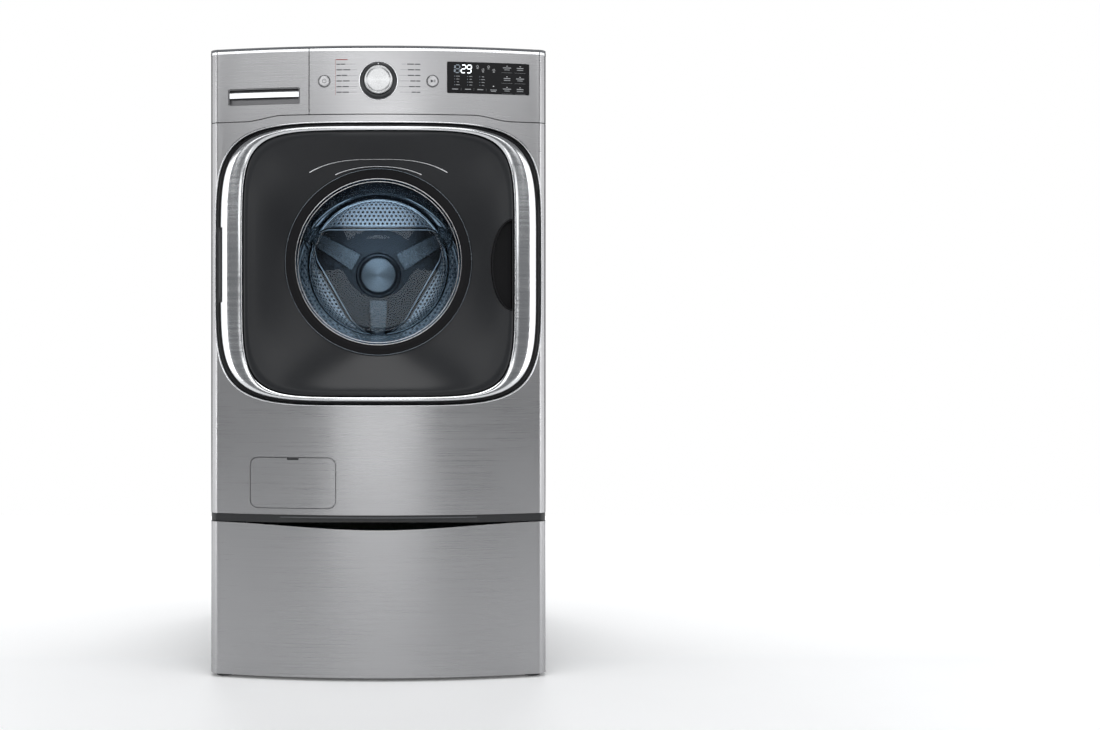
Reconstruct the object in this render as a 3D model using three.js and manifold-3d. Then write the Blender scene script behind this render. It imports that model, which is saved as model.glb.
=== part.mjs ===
// Front load washing machine on its storage pedestal, in millimetres.
// +Z is up and the front looks along -Y. The origin is on the floor, under the middle of the machine.
import * as THREE from "three";
import { mergeVertices } from "three/addons/utils/BufferGeometryUtils.js";
import Module from "manifold-3d";

const wasm = await Module();
wasm.setup();

// ---------- driving dimensions ----------
const WIDTH = 737; // over the side panels
const HEIGHT = 1372; // floor to worktop
const BACK_Y = 385; // plane of the back panel
const CORNER_Y = -345; // front face beside the rounded corners
const BOW = 38; // how far the front face swells forward in the middle
const CORNER_R = 22;
const FRONT_SKIN = 2.5;
const SHEET = 1.2;
const GAP = 0.6; // between neighbouring pieces
const PEDESTAL_TOP = 340;
const WASHER_BOTTOM = 358;
const TOP_PLATE = 4.5;
const SEAM_SIDE = 1212; // joint line under the control panel, at the sides
const SEAM_MIDDLE = 1224; // and above the door
const SPLIT_X = -150; // joint line between dispenser front and control panel
const SHELL_BACK = -318; // where the front mouldings meet the side panels
const DOOR_Z = 901;
const AXIS_Z = 908; // drum axis

const HALF = WIDTH / 2;
const FLAT_HALF = HALF - CORNER_R;

// ---------- materials ----------
const material = (color, roughness, metalness) => new THREE.MeshStandardMaterial({ color, roughness, metalness });
const MAT = {
  brushed: material(0xa3a3a5, 0.35, 0.9),
  bezel: material(0xd9d9dc, 0.16, 1.0),
  side: material(0x55565a, 0.45, 0.6),
  galvanised: material(0xa8adb0, 0.5, 0.8),
  dark: material(0x1b1c1e, 0.4, 0.0),
  gloss: material(0x111316, 0.08, 0.0),
  glass: material(0x8fa0aa, 0.03, 0.0),
  rubber: material(0x6c6f73, 0.8, 0.0),
  white: material(0xd8dadb, 0.5, 0.0),
  steel: material(0xb9bdc1, 0.25, 1.0),
  concrete: material(0x8b8a86, 0.9, 0.0),
  board: material(0x1d5b3a, 0.6, 0.0),
};

// ---------- solids ----------
function solid(geometry) {
  const plain = geometry.index ? geometry.toNonIndexed() : geometry.clone();
  plain.deleteAttribute("normal");
  plain.deleteAttribute("uv");
  const merged = mergeVertices(plain, 1e-3);
  const triVerts = new Uint32Array(merged.index.array);
  const build = () =>
    new wasm.Manifold(new wasm.Mesh({ numProp: 3, vertProperties: merged.attributes.position.array, triVerts }));
  let made = build();
  if (made.volume() < 0) {
    for (let i = 0; i < triVerts.length; i += 3)
      [triVerts[i + 1], triVerts[i + 2]] = [triVerts[i + 2], triVerts[i + 1]];
    made = build();
  }
  return made;
}

function geometryOf(made) {
  const m = made.getMesh();
  const points = new Float32Array(m.numVert * 3);
  for (let i = 0; i < m.numVert; i++) points.set(m.vertProperties.subarray(i * m.numProp, i * m.numProp + 3), i * 3);
  const geometry = new THREE.BufferGeometry();
  geometry.setAttribute("position", new THREE.BufferAttribute(points, 3));
  geometry.setIndex(new THREE.BufferAttribute(m.triVerts, 1));
  geometry.computeVertexNormals();
  return geometry;
}

const box = (x0, x1, y0, y1, z0, z1) =>
  solid(new THREE.BoxGeometry(x1 - x0, y1 - y0, z1 - z0).translate((x0 + x1) / 2, (y0 + y1) / 2, (z0 + z1) / 2));
const flat = { bevelEnabled: false, curveSegments: 6 };

// An outline in plan, pulled up from z0 to z1.
const upright = (shape, z0, z1) =>
  solid(new THREE.ExtrudeGeometry(shape, { ...flat, depth: z1 - z0 }).translate(0, 0, z0));

// An outline in x and z, as seen from the front, pulled from y0 back to y1.
const facing = (shape, y0, y1) =>
  solid(new THREE.ExtrudeGeometry(shape, { ...flat, depth: y1 - y0 }).rotateX(Math.PI / 2).translate(0, y1, 0));

// A profile of [radius, y] turned about a line along Y through (x, z).
const turned = (profile, sides = 32, x = 0, z = AXIS_Z) =>
  solid(
    new THREE.LatheGeometry(profile.map(([r, y]) => new THREE.Vector2(r, y)), sides).translate(x, 0, z),
  );
const ring = (r0, r1, y0, y1, sides, x, z) =>
  turned([[r0, y0], [r1, y0], [r1, y1], [r0, y1], [r0, y0]], sides, x, z);
const disc = (r, y0, y1, sides, x, z) => turned([[0, y0], [r, y0], [r, y1], [0, y1]], sides, x, z);
const post = (r, x, y, z0, z1, sides = 16) =>
  solid(
    new THREE.CylinderGeometry(r, r, z1 - z0, sides).rotateX(Math.PI / 2).translate(x, y, (z0 + z1) / 2),
  );

function roundedRect(w, h, r, cx, cy) {
  const [x0, x1, y0, y1] = [cx - w / 2, cx + w / 2, cy - h / 2, cy + h / 2];
  return new THREE.Shape()
    .moveTo(x0 + r, y0)
    .lineTo(x1 - r, y0)
    .absarc(x1 - r, y0 + r, r, -Math.PI / 2, 0)
    .lineTo(x1, y1 - r)
    .absarc(x1 - r, y1 - r, r, 0, Math.PI / 2)
    .lineTo(x0 + r, y1)
    .absarc(x0 + r, y1 - r, r, Math.PI / 2, Math.PI)
    .lineTo(x0, y0 + r)
    .absarc(x0 + r, y0 + r, r, Math.PI, 1.5 * Math.PI);
}

// The rounded square of the door, as a superellipse about (0, cz).
const SQUIRCLE_POINTS = 48;
function squirclePoints(a, b, n, cz) {
  const power = (v) => Math.sign(v) * Math.abs(v) ** (2 / n);
  return Array.from({ length: SQUIRCLE_POINTS }, (_, i) => {
    const t = (2 * Math.PI * i) / SQUIRCLE_POINTS;
    return new THREE.Vector2(a * power(Math.cos(t)), cz + b * power(Math.sin(t)));
  });
}
const squircle = (a, b, n, cz = DOOR_Z) => new THREE.Shape(squirclePoints(a, b, n, cz));

// A skin-less transition from one outline at y0 to another with as many points at y1.
function loft(front, y0, back, y1) {
  const n = front.length;
  const points = [...front.map((p) => [p.x, y0, p.y]), ...back.map((p) => [p.x, y1, p.y])].flat();
  const faces = THREE.ShapeUtils.triangulateShape(front, []).flat();
  for (const [a, b, c] of THREE.ShapeUtils.triangulateShape(back, [])) faces.push(n + a, n + c, n + b);
  for (let i = 0; i < n; i++) {
    const j = (i + 1) % n;
    faces.push(i, n + i, n + j, i, n + j, j);
  }
  const geometry = new THREE.BufferGeometry();
  geometry.setAttribute("position", new THREE.Float32BufferAttribute(points, 3));
  geometry.setIndex(faces);
  return solid(geometry);
}

// The front face in plan: y at a given x, for a face standing proud of the cabinet's by proud.
const frontY = (x, proud = 0) => CORNER_Y - proud - BOW * (1 - (x / FLAT_HALF) ** 2);
const BOW_STEPS = 14;

// Half-open plan of the machine with rounded front corners, inset all round, closed along y = back.
function planOutline(inset, back) {
  const side = HALF - inset;
  const r = CORNER_R - inset;
  const shape = new THREE.Shape().moveTo(side, back).lineTo(-side, back);
  shape.lineTo(-side, CORNER_Y + CORNER_R);
  shape.absarc(-FLAT_HALF, CORNER_Y + CORNER_R, r, Math.PI, 1.5 * Math.PI);
  for (let i = 0; i <= BOW_STEPS; i++) {
    const x = -FLAT_HALF + (2 * FLAT_HALF * i) / BOW_STEPS;
    shape.lineTo(x, frontY(x) + inset);
  }
  shape.absarc(FLAT_HALF, CORNER_Y + CORNER_R, r, 1.5 * Math.PI, 2 * Math.PI);
  return shape;
}
// A bowed front skin of the given thickness.
const frontShell = (thick, z0, z1) =>
  upright(planOutline(0, SHELL_BACK), z0, z1).subtract(
    upright(planOutline(thick, SHELL_BACK + 1), z0 - 1, z1 + 1),
  );

const machine = new THREE.Group();
function add(name, made, look, parent = machine) {
  const mesh = new THREE.Mesh(geometryOf(made), look);
  mesh.name = name;
  parent.add(mesh);
  return mesh;
}
const bothSides = [["left", -1], ["right", 1]];

// ---------- pedestal ----------
const PEDESTAL_BASE = 22;
const DRAWER_BOTTOM = 7;
const DRAWER_DIP = 14; // the drawer front's top edge sinks this far in the middle
const BOX_HALF = 325;
const BOX_FRONT = -330;
const BOX_BACK = 330;
const RAIL_Z = 190;
const FOOT_X = 338;
const FOOT_FRONT_Y = -318;
const FOOT_BACK_Y = 350;

function pedestalCabinet() {
  const outer = box(-HALF, HALF, SHELL_BACK + GAP, BACK_Y, PEDESTAL_BASE, PEDESTAL_TOP);
  const hollow = box(-HALF + SHEET, HALF - SHEET, SHELL_BACK - 5, BACK_Y - SHEET,
    PEDESTAL_BASE + SHEET, PEDESTAL_TOP - SHEET);
  return outer.subtract(hollow);
}

// Black collar between the pedestal and the washer, with the finger recess in its front edge.
function pedestalCollar() {
  const inset = 6;
  const plate = upright(planOutline(inset, BACK_Y), PEDESTAL_TOP + GAP, WASHER_BOTTOM - GAP);
  const recess = box(-215, 215, -400, -362, PEDESTAL_TOP - 1, PEDESTAL_TOP + 10);
  const hollow = box(-300, 300, -300, 350, PEDESTAL_TOP - 1, WASHER_BOTTOM - 4);
  return plate.subtract(recess).subtract(hollow);
}

function drawerFront() {
  const steps = 16;
  const shape = new THREE.Shape().moveTo(-HALF - 1, DRAWER_BOTTOM).lineTo(HALF + 1, DRAWER_BOTTOM);
  for (let i = 0; i <= steps; i++) {
    const x = HALF + 1 - (2 * (HALF + 1) * i) / steps;
    shape.lineTo(x, PEDESTAL_TOP - DRAWER_DIP * Math.cos((Math.PI / 2) * (x / (HALF + 1))) ** 2);
  }
  const skin = frontShell(FRONT_SKIN, 0, PEDESTAL_TOP).intersect(facing(shape, -420, -300));
  const back = box(-BOX_HALF - 15, BOX_HALF + 15, BOX_FRONT - 2, BOX_FRONT - GAP, 40, 318);
  const webs = [-300, 0, 300].map((x) => box(x - 2, x + 2, frontY(x) + 1, BOX_FRONT - 1, 60, 300));
  return webs.reduce((all, web) => all.add(web), skin.add(back));
}

function drawerBox() {
  const tray = box(-BOX_HALF, BOX_HALF, BOX_FRONT, BOX_BACK, 45, 290).subtract(
    box(-BOX_HALF + SHEET, BOX_HALF - SHEET, BOX_FRONT + SHEET, BOX_BACK - SHEET, 45 + SHEET, 300),
  );
  const runner = box(-HALF + SHEET + 7, -BOX_HALF + 1, -308, 320, RAIL_Z - 15, RAIL_Z + 15);
  return tray.add(runner).add(runner.mirror([1, 0, 0]));
}

function addPedestal() {
  add("pedestal_cabinet", pedestalCabinet(), MAT.side);
  add("pedestal_collar", pedestalCollar(), MAT.dark);
  add("pedestal_drawer_front", drawerFront(), MAT.brushed);
  add("pedestal_drawer_box", drawerBox(), MAT.galvanised);
  for (const [side, s] of bothSides) {
    const channel = box(-HALF + SHEET + GAP, -HALF + 20, -310, 340, RAIL_Z - 23, RAIL_Z + 23).subtract(
      box(-HALF + SHEET + 5, -HALF + 30, -320, 350, RAIL_Z - 18, RAIL_Z + 18),
    );
    add(`drawer_channel_${side}`, s < 0 ? channel : channel.mirror([1, 0, 0]), MAT.galvanised);
    for (const [end, y] of [["front", FOOT_FRONT_Y], ["back", FOOT_BACK_Y]]) {
      const foot = post(19, s * FOOT_X, y, 0, 9, 14).add(post(7, s * FOOT_X, y, 8, PEDESTAL_BASE - GAP, 8));
      add(`foot_${end}_${side}`, foot, MAT.dark);
    }
  }
}

// ---------- washer shell ----------
const SHELL_TOP = HEIGHT - TOP_PLATE - GAP;
const TALL = [WASHER_BOTTOM, SHELL_TOP];
const DOOR_OPENING = [356, 305, 5]; // half width, half height and power of the hole in the front panel
const HATCH = { x: -185.5, z: 427.5, w: 186, h: 109, r: 17 };
const MOTOR_COVER_R = 190;
const VALVE = { x: 200, z: 1290, r: 13, apart: 32 };
const OUTLET = { x: -250, z: 1180, r: 16 };
const SEAM_STEPS = 20;

// Height of the joint line between the front panel and the control panel.
function seamZ(x) {
  const t = THREE.MathUtils.clamp((290 - Math.abs(x)) / 85, 0, 1);
  return SEAM_SIDE + (SEAM_MIDDLE - SEAM_SIDE) * t * t * (3 - 2 * t);
}

// Everything under the joint line (top = -1) or over it (top = 1), as seen from the front.
function besideSeam(top) {
  const edge = HALF + 2;
  const far = top > 0 ? HEIGHT + 10 : 0;
  const shape = new THREE.Shape().moveTo(-edge, far).lineTo(edge, far);
  for (let i = 0; i <= SEAM_STEPS; i++) {
    const x = edge - (2 * edge * i) / SEAM_STEPS;
    shape.lineTo(x, seamZ(x) + (top * GAP) / 2);
  }
  return facing(shape, -430, -300);
}

function sidePanel(s) {
  const skin = box(HALF - SHEET, HALF, SHELL_BACK + GAP, BACK_Y - SHEET - GAP, ...TALL);
  const flange = box(HALF - 16, HALF - SHEET / 2, SHELL_BACK + GAP, SHELL_BACK + GAP + SHEET, ...TALL);
  const made = skin.add(flange);
  return s > 0 ? made : made.mirror([1, 0, 0]);
}

function backPanel() {
  const plate = box(-HALF, HALF, BACK_Y - SHEET, BACK_Y, ...TALL);
  const cover = turned([[MOTOR_COVER_R - 3, BACK_Y - SHEET], [MOTOR_COVER_R, BACK_Y - SHEET],
    [MOTOR_COVER_R - 12, 397], [0, 397], [0, 395], [MOTOR_COVER_R - 15, 395],
    [MOTOR_COVER_R - 3, BACK_Y - SHEET]], 28);
  const spout = ring(OUTLET.r - 3, OUTLET.r, BACK_Y - 1, 397, 16, OUTLET.x, OUTLET.z);
  const gland = disc(11, BACK_Y - 1, 395, 14, 270, 1180);
  const holes = [disc(MOTOR_COVER_R - 2, 380, 390, 28)];
  for (const s of [-1, 1]) holes.push(disc(VALVE.r + 1, 380, 390, 16, VALVE.x + (s * VALVE.apart) / 2, VALVE.z));
  return holes.reduce((all, hole) => all.subtract(hole), plate).add(cover).add(spout).add(gland);
}

const basePan = () =>
  box(-HALF + 3, HALF - 3, SHELL_BACK + 4, BACK_Y - 4, WASHER_BOTTOM, WASHER_BOTTOM + 30).subtract(
    box(-HALF + 5, HALF - 5, SHELL_BACK + 6, BACK_Y - 6, WASHER_BOTTOM + 2, WASHER_BOTTOM + 40),
  );

const topPlate = () =>
  upright(planOutline(0, BACK_Y), HEIGHT - TOP_PLATE, HEIGHT).subtract(
    upright(planOutline(12, BACK_Y - 12), HEIGHT - TOP_PLATE - 1, HEIGHT - SHEET),
  );

function frontPanel() {
  const hatchHole = roundedRect(HATCH.w + 1.2, HATCH.h + 1.2, HATCH.r + 0.6, HATCH.x, HATCH.z);
  return frontShell(FRONT_SKIN, WASHER_BOTTOM + GAP, SEAM_MIDDLE + 5)
    .intersect(besideSeam(-1))
    .subtract(facing(squircle(...DOOR_OPENING), -420, -330))
    .subtract(facing(hatchHole, -420, -330));
}

// The hatch's plate, with the finger notch in its top edge and a tongue that snaps behind the panel.
function serviceHatch() {
  const plate = frontShell(FRONT_SKIN, 360, 500).intersect(
    facing(roundedRect(HATCH.w, HATCH.h, HATCH.r, HATCH.x, HATCH.z), -420, -330),
  );
  const top = HATCH.z + HATCH.h / 2;
  const notch = box(HATCH.x - 12, HATCH.x + 12, -420, -330, top - 10, top + 2);
  const tongue = box(HATCH.x - 10, HATCH.x + 10, frontY(HATCH.x) + 1.5, frontY(HATCH.x) + 9, top - 22, top - 11);
  return plate.subtract(notch).add(tongue);
}

function addShell() {
  for (const [side, s] of bothSides) add(`side_panel_${side}`, sidePanel(s), MAT.side);
  add("back_panel", backPanel(), MAT.galvanised);
  add("base_pan", basePan(), MAT.galvanised);
  add("top_plate", topPlate(), MAT.side);
  add("front_panel", frontPanel(), MAT.brushed);
  add("service_hatch", serviceHatch(), MAT.brushed);
  add("top_brace", box(-HALF + 3, HALF - 3, 90, 110, 1325, 1350).subtract(
    box(-HALF + 2, HALF - 2, 92, 108, 1320, 1348)), MAT.galvanised);
}

// ---------- control panel and dispenser ----------
const CONTROL_Z = 1296;
const BUTTON_X = 117;
const BUTTON_R = 11.5;
const DISPLAY = { x: 239, z: 1305, w: 180, h: 67, r: 2 };
const PULL = { x: -249, z: 1266, w: 158, h: 36, r: 4 };
const SPLIT_GAP = 0.8;
const BOARD_FRONT = -338;

const controlShell = (x0, x1) =>
  frontShell(FRONT_SKIN, SEAM_SIDE - 5, SHELL_TOP).intersect(besideSeam(1)).intersect(box(x0, x1, -430, -300, 0, 1400));

function controlPanel() {
  const display = roundedRect(DISPLAY.w + 1.2, DISPLAY.h + 1.2, DISPLAY.r, DISPLAY.x, DISPLAY.z);
  const holes = [facing(display, -420, -330), disc(7, -400, -360, 16, 0, CONTROL_Z)];
  for (const s of [-1, 1]) holes.push(disc(BUTTON_R + 0.8, -400, -360, 20, s * BUTTON_X, CONTROL_Z));
  return holes.reduce((all, hole) => all.subtract(hole), controlShell(SPLIT_X + SPLIT_GAP, HALF + 1));
}

const displayGlass = () =>
  frontShell(2.2, 1200, 1360).intersect(
    facing(roundedRect(DISPLAY.w, DISPLAY.h, DISPLAY.r, DISPLAY.x, DISPLAY.z), -420, -330),
  );

function pushButton(x) {
  const face = frontY(x);
  return turned([[0, face - 2], [BUTTON_R, face - 2], [BUTTON_R, face + 7], [4, face + 7], [4, BOARD_FRONT - 4],
    [0, BOARD_FRONT - 4]], 20, x, CONTROL_Z);
}

const dialKnob = () =>
  turned([[0, BOARD_FRONT - 1], [5, BOARD_FRONT - 1], [5, -384], [38, -384], [40, -386], [40, -391], [36, -396],
    [31.5, -396], [31.5, -390], [0, -390]], 32, 0, CONTROL_Z);
const dialCap = () =>
  turned([[0, -390.5], [31, -390.5], [31, -397], [28, -400], [0, -399]], 32, 0, CONTROL_Z);

function dispenserFront() {
  const pocket = roundedRect(PULL.w, PULL.h, PULL.r, PULL.x, PULL.z);
  return controlShell(-HALF - 1, SPLIT_X - SPLIT_GAP).subtract(facing(pocket, -420, -330));
}

// The pull: a shallow cup behind the front's slot, with a grip bar across its mouth.
function dispenserPull() {
  const behindFace = (inset) => upright(planOutline(inset, 0), PULL.z - 50, PULL.z + 50);
  const slot = (less) => roundedRect(PULL.w - less, PULL.h - less, PULL.r, PULL.x, PULL.z);
  const cup = facing(slot(1.2), -420, -326).subtract(facing(slot(5), -430, -329)).intersect(behindFace(1));
  const bar = box(PULL.x - 77, PULL.x + 77, -420, -340, PULL.z - 2, PULL.z + 9)
    .intersect(behindFace(2.5))
    .subtract(behindFace(8));
  return cup.add(bar);
}

const TRAY = [-325, -175, -325, -90, 1238, 1300];
function dispenserTray() {
  const [x0, x1, y0, y1, z0, z1] = TRAY;
  const cells = [[x0 + 2, -262, y0 + 2, y1 - 2], [-260, x1 - 2, y0 + 2, -212], [-260, x1 - 2, -210, y1 - 2]];
  return cells.reduce((all, [a, b, c, d]) => all.subtract(box(a, b, c, d, z0 + 2, z1 + 1)), box(...TRAY));
}
const dispenserHousing = () =>
  box(-331, -169, -314, -60, 1231, 1312).subtract(box(-328.5, -171.5, -320, -62.5, 1233.5, 1309.5));

function addControls() {
  add("control_panel", controlPanel(), MAT.brushed);
  add("display_glass", displayGlass(), MAT.gloss);
  add("control_board", box(-140, 335, BOARD_FRONT, BOARD_FRONT + 3, 1240, 1355), MAT.board);
  add("power_button", pushButton(-BUTTON_X), MAT.brushed);
  add("start_button", pushButton(BUTTON_X), MAT.brushed);
  add("dial_knob", dialKnob(), MAT.dark);
  add("dial_cap", dialCap(), MAT.bezel);
  add("dispenser_front", dispenserFront(), MAT.brushed);
  add("dispenser_pull", dispenserPull(), MAT.bezel);
  add("dispenser_tray", dispenserTray(), MAT.white);
  add("dispenser_housing", dispenserHousing(), MAT.white);
}

// ---------- door ----------
const RING = { outer: [350, 300, 5], inner: [294, 285, 5.8] };
const COVER = [293.4, 284.4, 5.8];
const DISH_FRONT = [279, 270, 5.2];
const WINDOW_R = 203;
const DOOR_BACK = -338; // back plane of ring and cover
const DOOR_PROUD = 17; // the door stands this far out of the front panel in the middle
const HINGE = { x: -344, y: -348.5, pin: 2, bore: 2.3, barrel: 3.4, arm: 17 };
const HANDLE = { x: 292, z: 900, halfW: 47, halfH: 100, back: -343 };
const SURROUND = { front: -322, back: -319.5 };
const HOOK_X = 318;
const ROUND_STEPS = 36;

// Material behind the door's swelled outer face, set back by inset.
function doorFace(inset) {
  const edge = RING.outer[0] + 4;
  const shape = new THREE.Shape().moveTo(edge, DOOR_BACK + 30).lineTo(-edge, DOOR_BACK + 30);
  const rise = -CORNER_Y + BOW + DOOR_PROUD - 352;
  for (let i = 0; i <= BOW_STEPS; i++) {
    const x = -edge + (2 * edge * i) / BOW_STEPS;
    shape.lineTo(x, -352 - rise * (1 - (x / edge) ** 2) + inset);
  }
  return upright(shape, DOOR_Z - 320, DOOR_Z + 320);
}

function doorRing() {
  const hingePocket = box(-360, -320, HINGE.y - 3.9, -330, DOOR_Z - 82, DOOR_Z + 82);
  const channel = facing(squircle(346, 296, 5), -420, DOOR_BACK + 1)
    .subtract(facing(squircle(298, 289, 5.8), -430, -300))
    .intersect(doorFace(4));
  return facing(squircle(...RING.outer), -420, DOOR_BACK)
    .subtract(facing(squircle(...RING.inner), -430, -300))
    .intersect(doorFace(0))
    .subtract(channel)
    .subtract(hingePocket);
}

const handleOutline = (less) =>
  new THREE.Shape().absellipse(HANDLE.x, HANDLE.z, HANDLE.halfW - less, HANDLE.halfH - less, Math.PI / 2,
    1.5 * Math.PI);

function doorCover() {
  const circle = squirclePoints(WINDOW_R, WINDOW_R, 2, AXIS_Z);
  const dish = loft(squirclePoints(...DISH_FRONT, DOOR_Z), -402, circle, DOOR_BACK + 1);
  const shelf = loft(squirclePoints(287, 278, 5.4, DOOR_Z), -402,
    squirclePoints(WINDOW_R + 6, WINDOW_R + 6, 2, AXIS_Z), DOOR_BACK + 2);
  const hollow = facing(squircle(287, 278, 5.8), -420, DOOR_BACK + 1).intersect(doorFace(8)).subtract(shelf);
  return facing(squircle(...COVER), -420, DOOR_BACK)
    .intersect(doorFace(2))
    .subtract(dish)
    .subtract(hollow)
    .subtract(facing(handleOutline(0), -420, HANDLE.back));
}

// A half-oval cup let into the cover beside the ring, open to the front for the fingers.
const doorHandle = () =>
  facing(handleOutline(0.6), -420, HANDLE.back - 0.5)
    .subtract(facing(handleOutline(4), -430, HANDLE.back - 4))
    .intersect(doorFace(7))
    .intersect(box(200, HANDLE.x - 0.5, -430, -300, 700, 1100));

const doorBowl = () =>
  turned([[201, -344], [201, -338.6], [185.6, -338.6], [184.5, -331], [165, -222], [150, -207], [80, -200],
    [0, -199], [0, -204], [80, -205], [148, -212], [160, -225], [180, -333], [182, -344], [201, -344]],
  ROUND_STEPS);

function doorFrame() {
  const plate = facing(squircle(340, 293, 5), -337.4, -333.4).subtract(disc(186.4, -345, -325, ROUND_STEPS));
  const clear = box(-360, -320, -345, -325, DOOR_Z - 82, DOOR_Z + 82);
  const stem = box(HOOK_X - 5, HOOK_X + 5, -334, -306, DOOR_Z - 9, DOOR_Z + 9);
  const tip = box(HOOK_X - 12, HOOK_X + 5, -311, -306, DOOR_Z - 9, DOOR_Z + 9);
  const barrel = post(HINGE.barrel, HINGE.x, HINGE.y, DOOR_Z - 56, DOOR_Z + 56, 12);
  const leaf = box(HINGE.x + 1.5, -326, HINGE.y + 1, HINGE.y + 4.5, DOOR_Z - 54, DOOR_Z + 54);
  const web = box(-330, -326.5, HINGE.y + 2, -333.6, DOOR_Z - 54, DOOR_Z + 54);
  const bore = post(HINGE.bore, HINGE.x, HINGE.y, DOOR_Z - 60, DOOR_Z + 60, 12);
  return plate.subtract(clear).add(box(-334.5, -319, -337.4, -333.4, DOOR_Z - 54, DOOR_Z + 54))
    .add(stem).add(tip).add(barrel).add(leaf).add(web).subtract(bore);
}

// The fixed side of the hinge: a pin held between two arms that stand on the surround.
function hingeBracket() {
  const pin = post(HINGE.pin, HINGE.x, HINGE.y, DOOR_Z - 72, DOOR_Z + 72, 12);
  const elbow = HINGE.x + HINGE.arm;
  const arms = [-1, 1].map((s) => {
    const [z0, z1] = [DOOR_Z + s * 66 - 6, DOOR_Z + s * 66 + 6];
    return post(3.2, HINGE.x, HINGE.y, z0, z1, 12)
      .add(box(HINGE.x, elbow, HINGE.y - 2, HINGE.y + 2, z0, z1))
      .add(box(elbow - 4, elbow, HINGE.y - 2, SURROUND.front - GAP, z0, z1));
  });
  const foot = box(HINGE.x + 5, elbow + 6, SURROUND.front - 4, SURROUND.front - GAP, DOOR_Z - 74, DOOR_Z + 74);
  return arms.reduce((all, arm) => all.add(arm), pin).add(foot);
}

function doorSurround() {
  const wallOuter = [DOOR_OPENING[0] + 4, DOOR_OPENING[1] + 4, 5];
  const wallInner = [DOOR_OPENING[0] + 1.5, DOOR_OPENING[1] + 1.5, 5];
  const wall = facing(squircle(...wallOuter), -420, SURROUND.back)
    .subtract(facing(squircle(...wallInner), -430, -300))
    .intersect(upright(planOutline(FRONT_SKIN + GAP, 0), 500, 1300));
  const plate = facing(roundedRect(720, 630, 12, 0, 893), SURROUND.front, SURROUND.back)
    .subtract(disc(212, -330, -310, ROUND_STEPS))
    .subtract(box(HOOK_X - 18, HOOK_X + 12, -330, -310, DOOR_Z - 16, DOOR_Z + 16));
  return plate.add(wall);
}

const doorLock = () =>
  box(HOOK_X - 26, HOOK_X + 22, SURROUND.back + GAP, -288, DOOR_Z - 34, DOOR_Z + 34).subtract(
    box(HOOK_X - 18, HOOK_X + 12, -330, -296, DOOR_Z - 16, DOOR_Z + 16),
  );

function addDoor() {
  add("door_surround", doorSurround(), MAT.side);
  add("door_hinge_bracket", hingeBracket(), MAT.steel);
  add("door_lock", doorLock(), MAT.dark);
  add("door_ring", doorRing(), MAT.bezel);
  add("door_cover", doorCover(), MAT.gloss);
  add("door_handle_cup", doorHandle(), MAT.dark);
  add("door_frame", doorFrame(), MAT.dark);
  add("door_glass_bowl", doorBowl(), MAT.glass);
}

// ---------- wash unit ----------
const TUB_R = 308;
const TUB_WALL = 6;
const TUB_FRONT = -278;
const TUB_BACK = 290;
const DRUM_R = 288;
const DRUM_SKIN = 1.5;
const DRUM_BACK = 240;
const SHAFT_R = 17;
const HANG_Y = 100; // springs and dampers stand in this plane
const SPRING_X = 250;
const DAMPER_X = 200;
const LIFTERS = 3;

function tubBack() {
  const inner = TUB_R - TUB_WALL;
  const made = turned([[45, 264], [60, 264], [60, TUB_BACK - TUB_WALL], [inner, TUB_BACK - TUB_WALL], [inner, -20],
    [TUB_R, -20], [TUB_R, TUB_BACK], [70, TUB_BACK], [70, 296], [45, 296], [45, 264]], 36);
  const keepOut = disc(inner + 1, -30, TUB_BACK - 8, 36);
  const lugs = bothSides.flatMap(([, s]) => {
    const [spring, damper] = [s * SPRING_X, s * DAMPER_X];
    return [
      box(spring - 12, spring + 12, HANG_Y - 14, HANG_Y + 14, 1060, 1106),
      box(damper - 10, damper + 10, HANG_Y - 12, HANG_Y + 12, 650, 690),
    ];
  });
  return lugs.reduce((all, lug) => all.add(lug.subtract(keepOut)), made);
}

const tubFront = () =>
  turned([[225, TUB_FRONT], [TUB_R, TUB_FRONT], [TUB_R, -20.6], [TUB_R - TUB_WALL, -20.6],
    [TUB_R - TUB_WALL, TUB_FRONT + TUB_WALL], [225, TUB_FRONT + TUB_WALL], [225, TUB_FRONT]], 36);

const drum = () =>
  turned([[205, -266], [212, -266], [DRUM_R, -243], [DRUM_R, DRUM_BACK], [60, DRUM_BACK],
    [60, DRUM_BACK - DRUM_SKIN], [DRUM_R - DRUM_SKIN, DRUM_BACK - DRUM_SKIN], [DRUM_R - DRUM_SKIN, -242],
    [211, -264], [205, -264], [205, -266]], 36);

// One lifter, standing on the drum's wall at the bottom and turned to its place.
function lifter(i) {
  const outline = (less) =>
    new THREE.Shape().moveTo(-45 + less, -278 - less).lineTo(45 - less, -278 - less).lineTo(36 - less, -240)
      .lineTo(20 - less, -222 - less).lineTo(-20 + less, -222 - less).lineTo(-36 + less, -240);
  return facing(outline(0), -205, 205)
    .subtract(facing(outline(2), -203, 203))
    .rotate([0, (360 / LIFTERS) * i, 0])
    .translate([0, 0, AXIS_Z]);
}

function drumSpider() {
  const hub = turned([[0, DRUM_BACK + 1], [42, DRUM_BACK + 1], [42, 262], [SHAFT_R, 262], [SHAFT_R, 345],
    [0, 345]], 24);
  const arms = Array.from({ length: LIFTERS }, (_, i) =>
    box(-24, 24, DRUM_BACK + 1, 258, -272, -30).rotate([0, 120 * i, 0]).translate([0, 0, AXIS_Z]));
  return arms.reduce((all, arm) => all.add(arm), hub);
}

const gasket = () =>
  turned([[186.5, -332], [208, -332], [208, -300], [222, -296], [222, -268], [219, -268], [219, -293], [205, -297.5],
    [205, -329], [186.5, -329], [186.5, -332]], 36);

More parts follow.
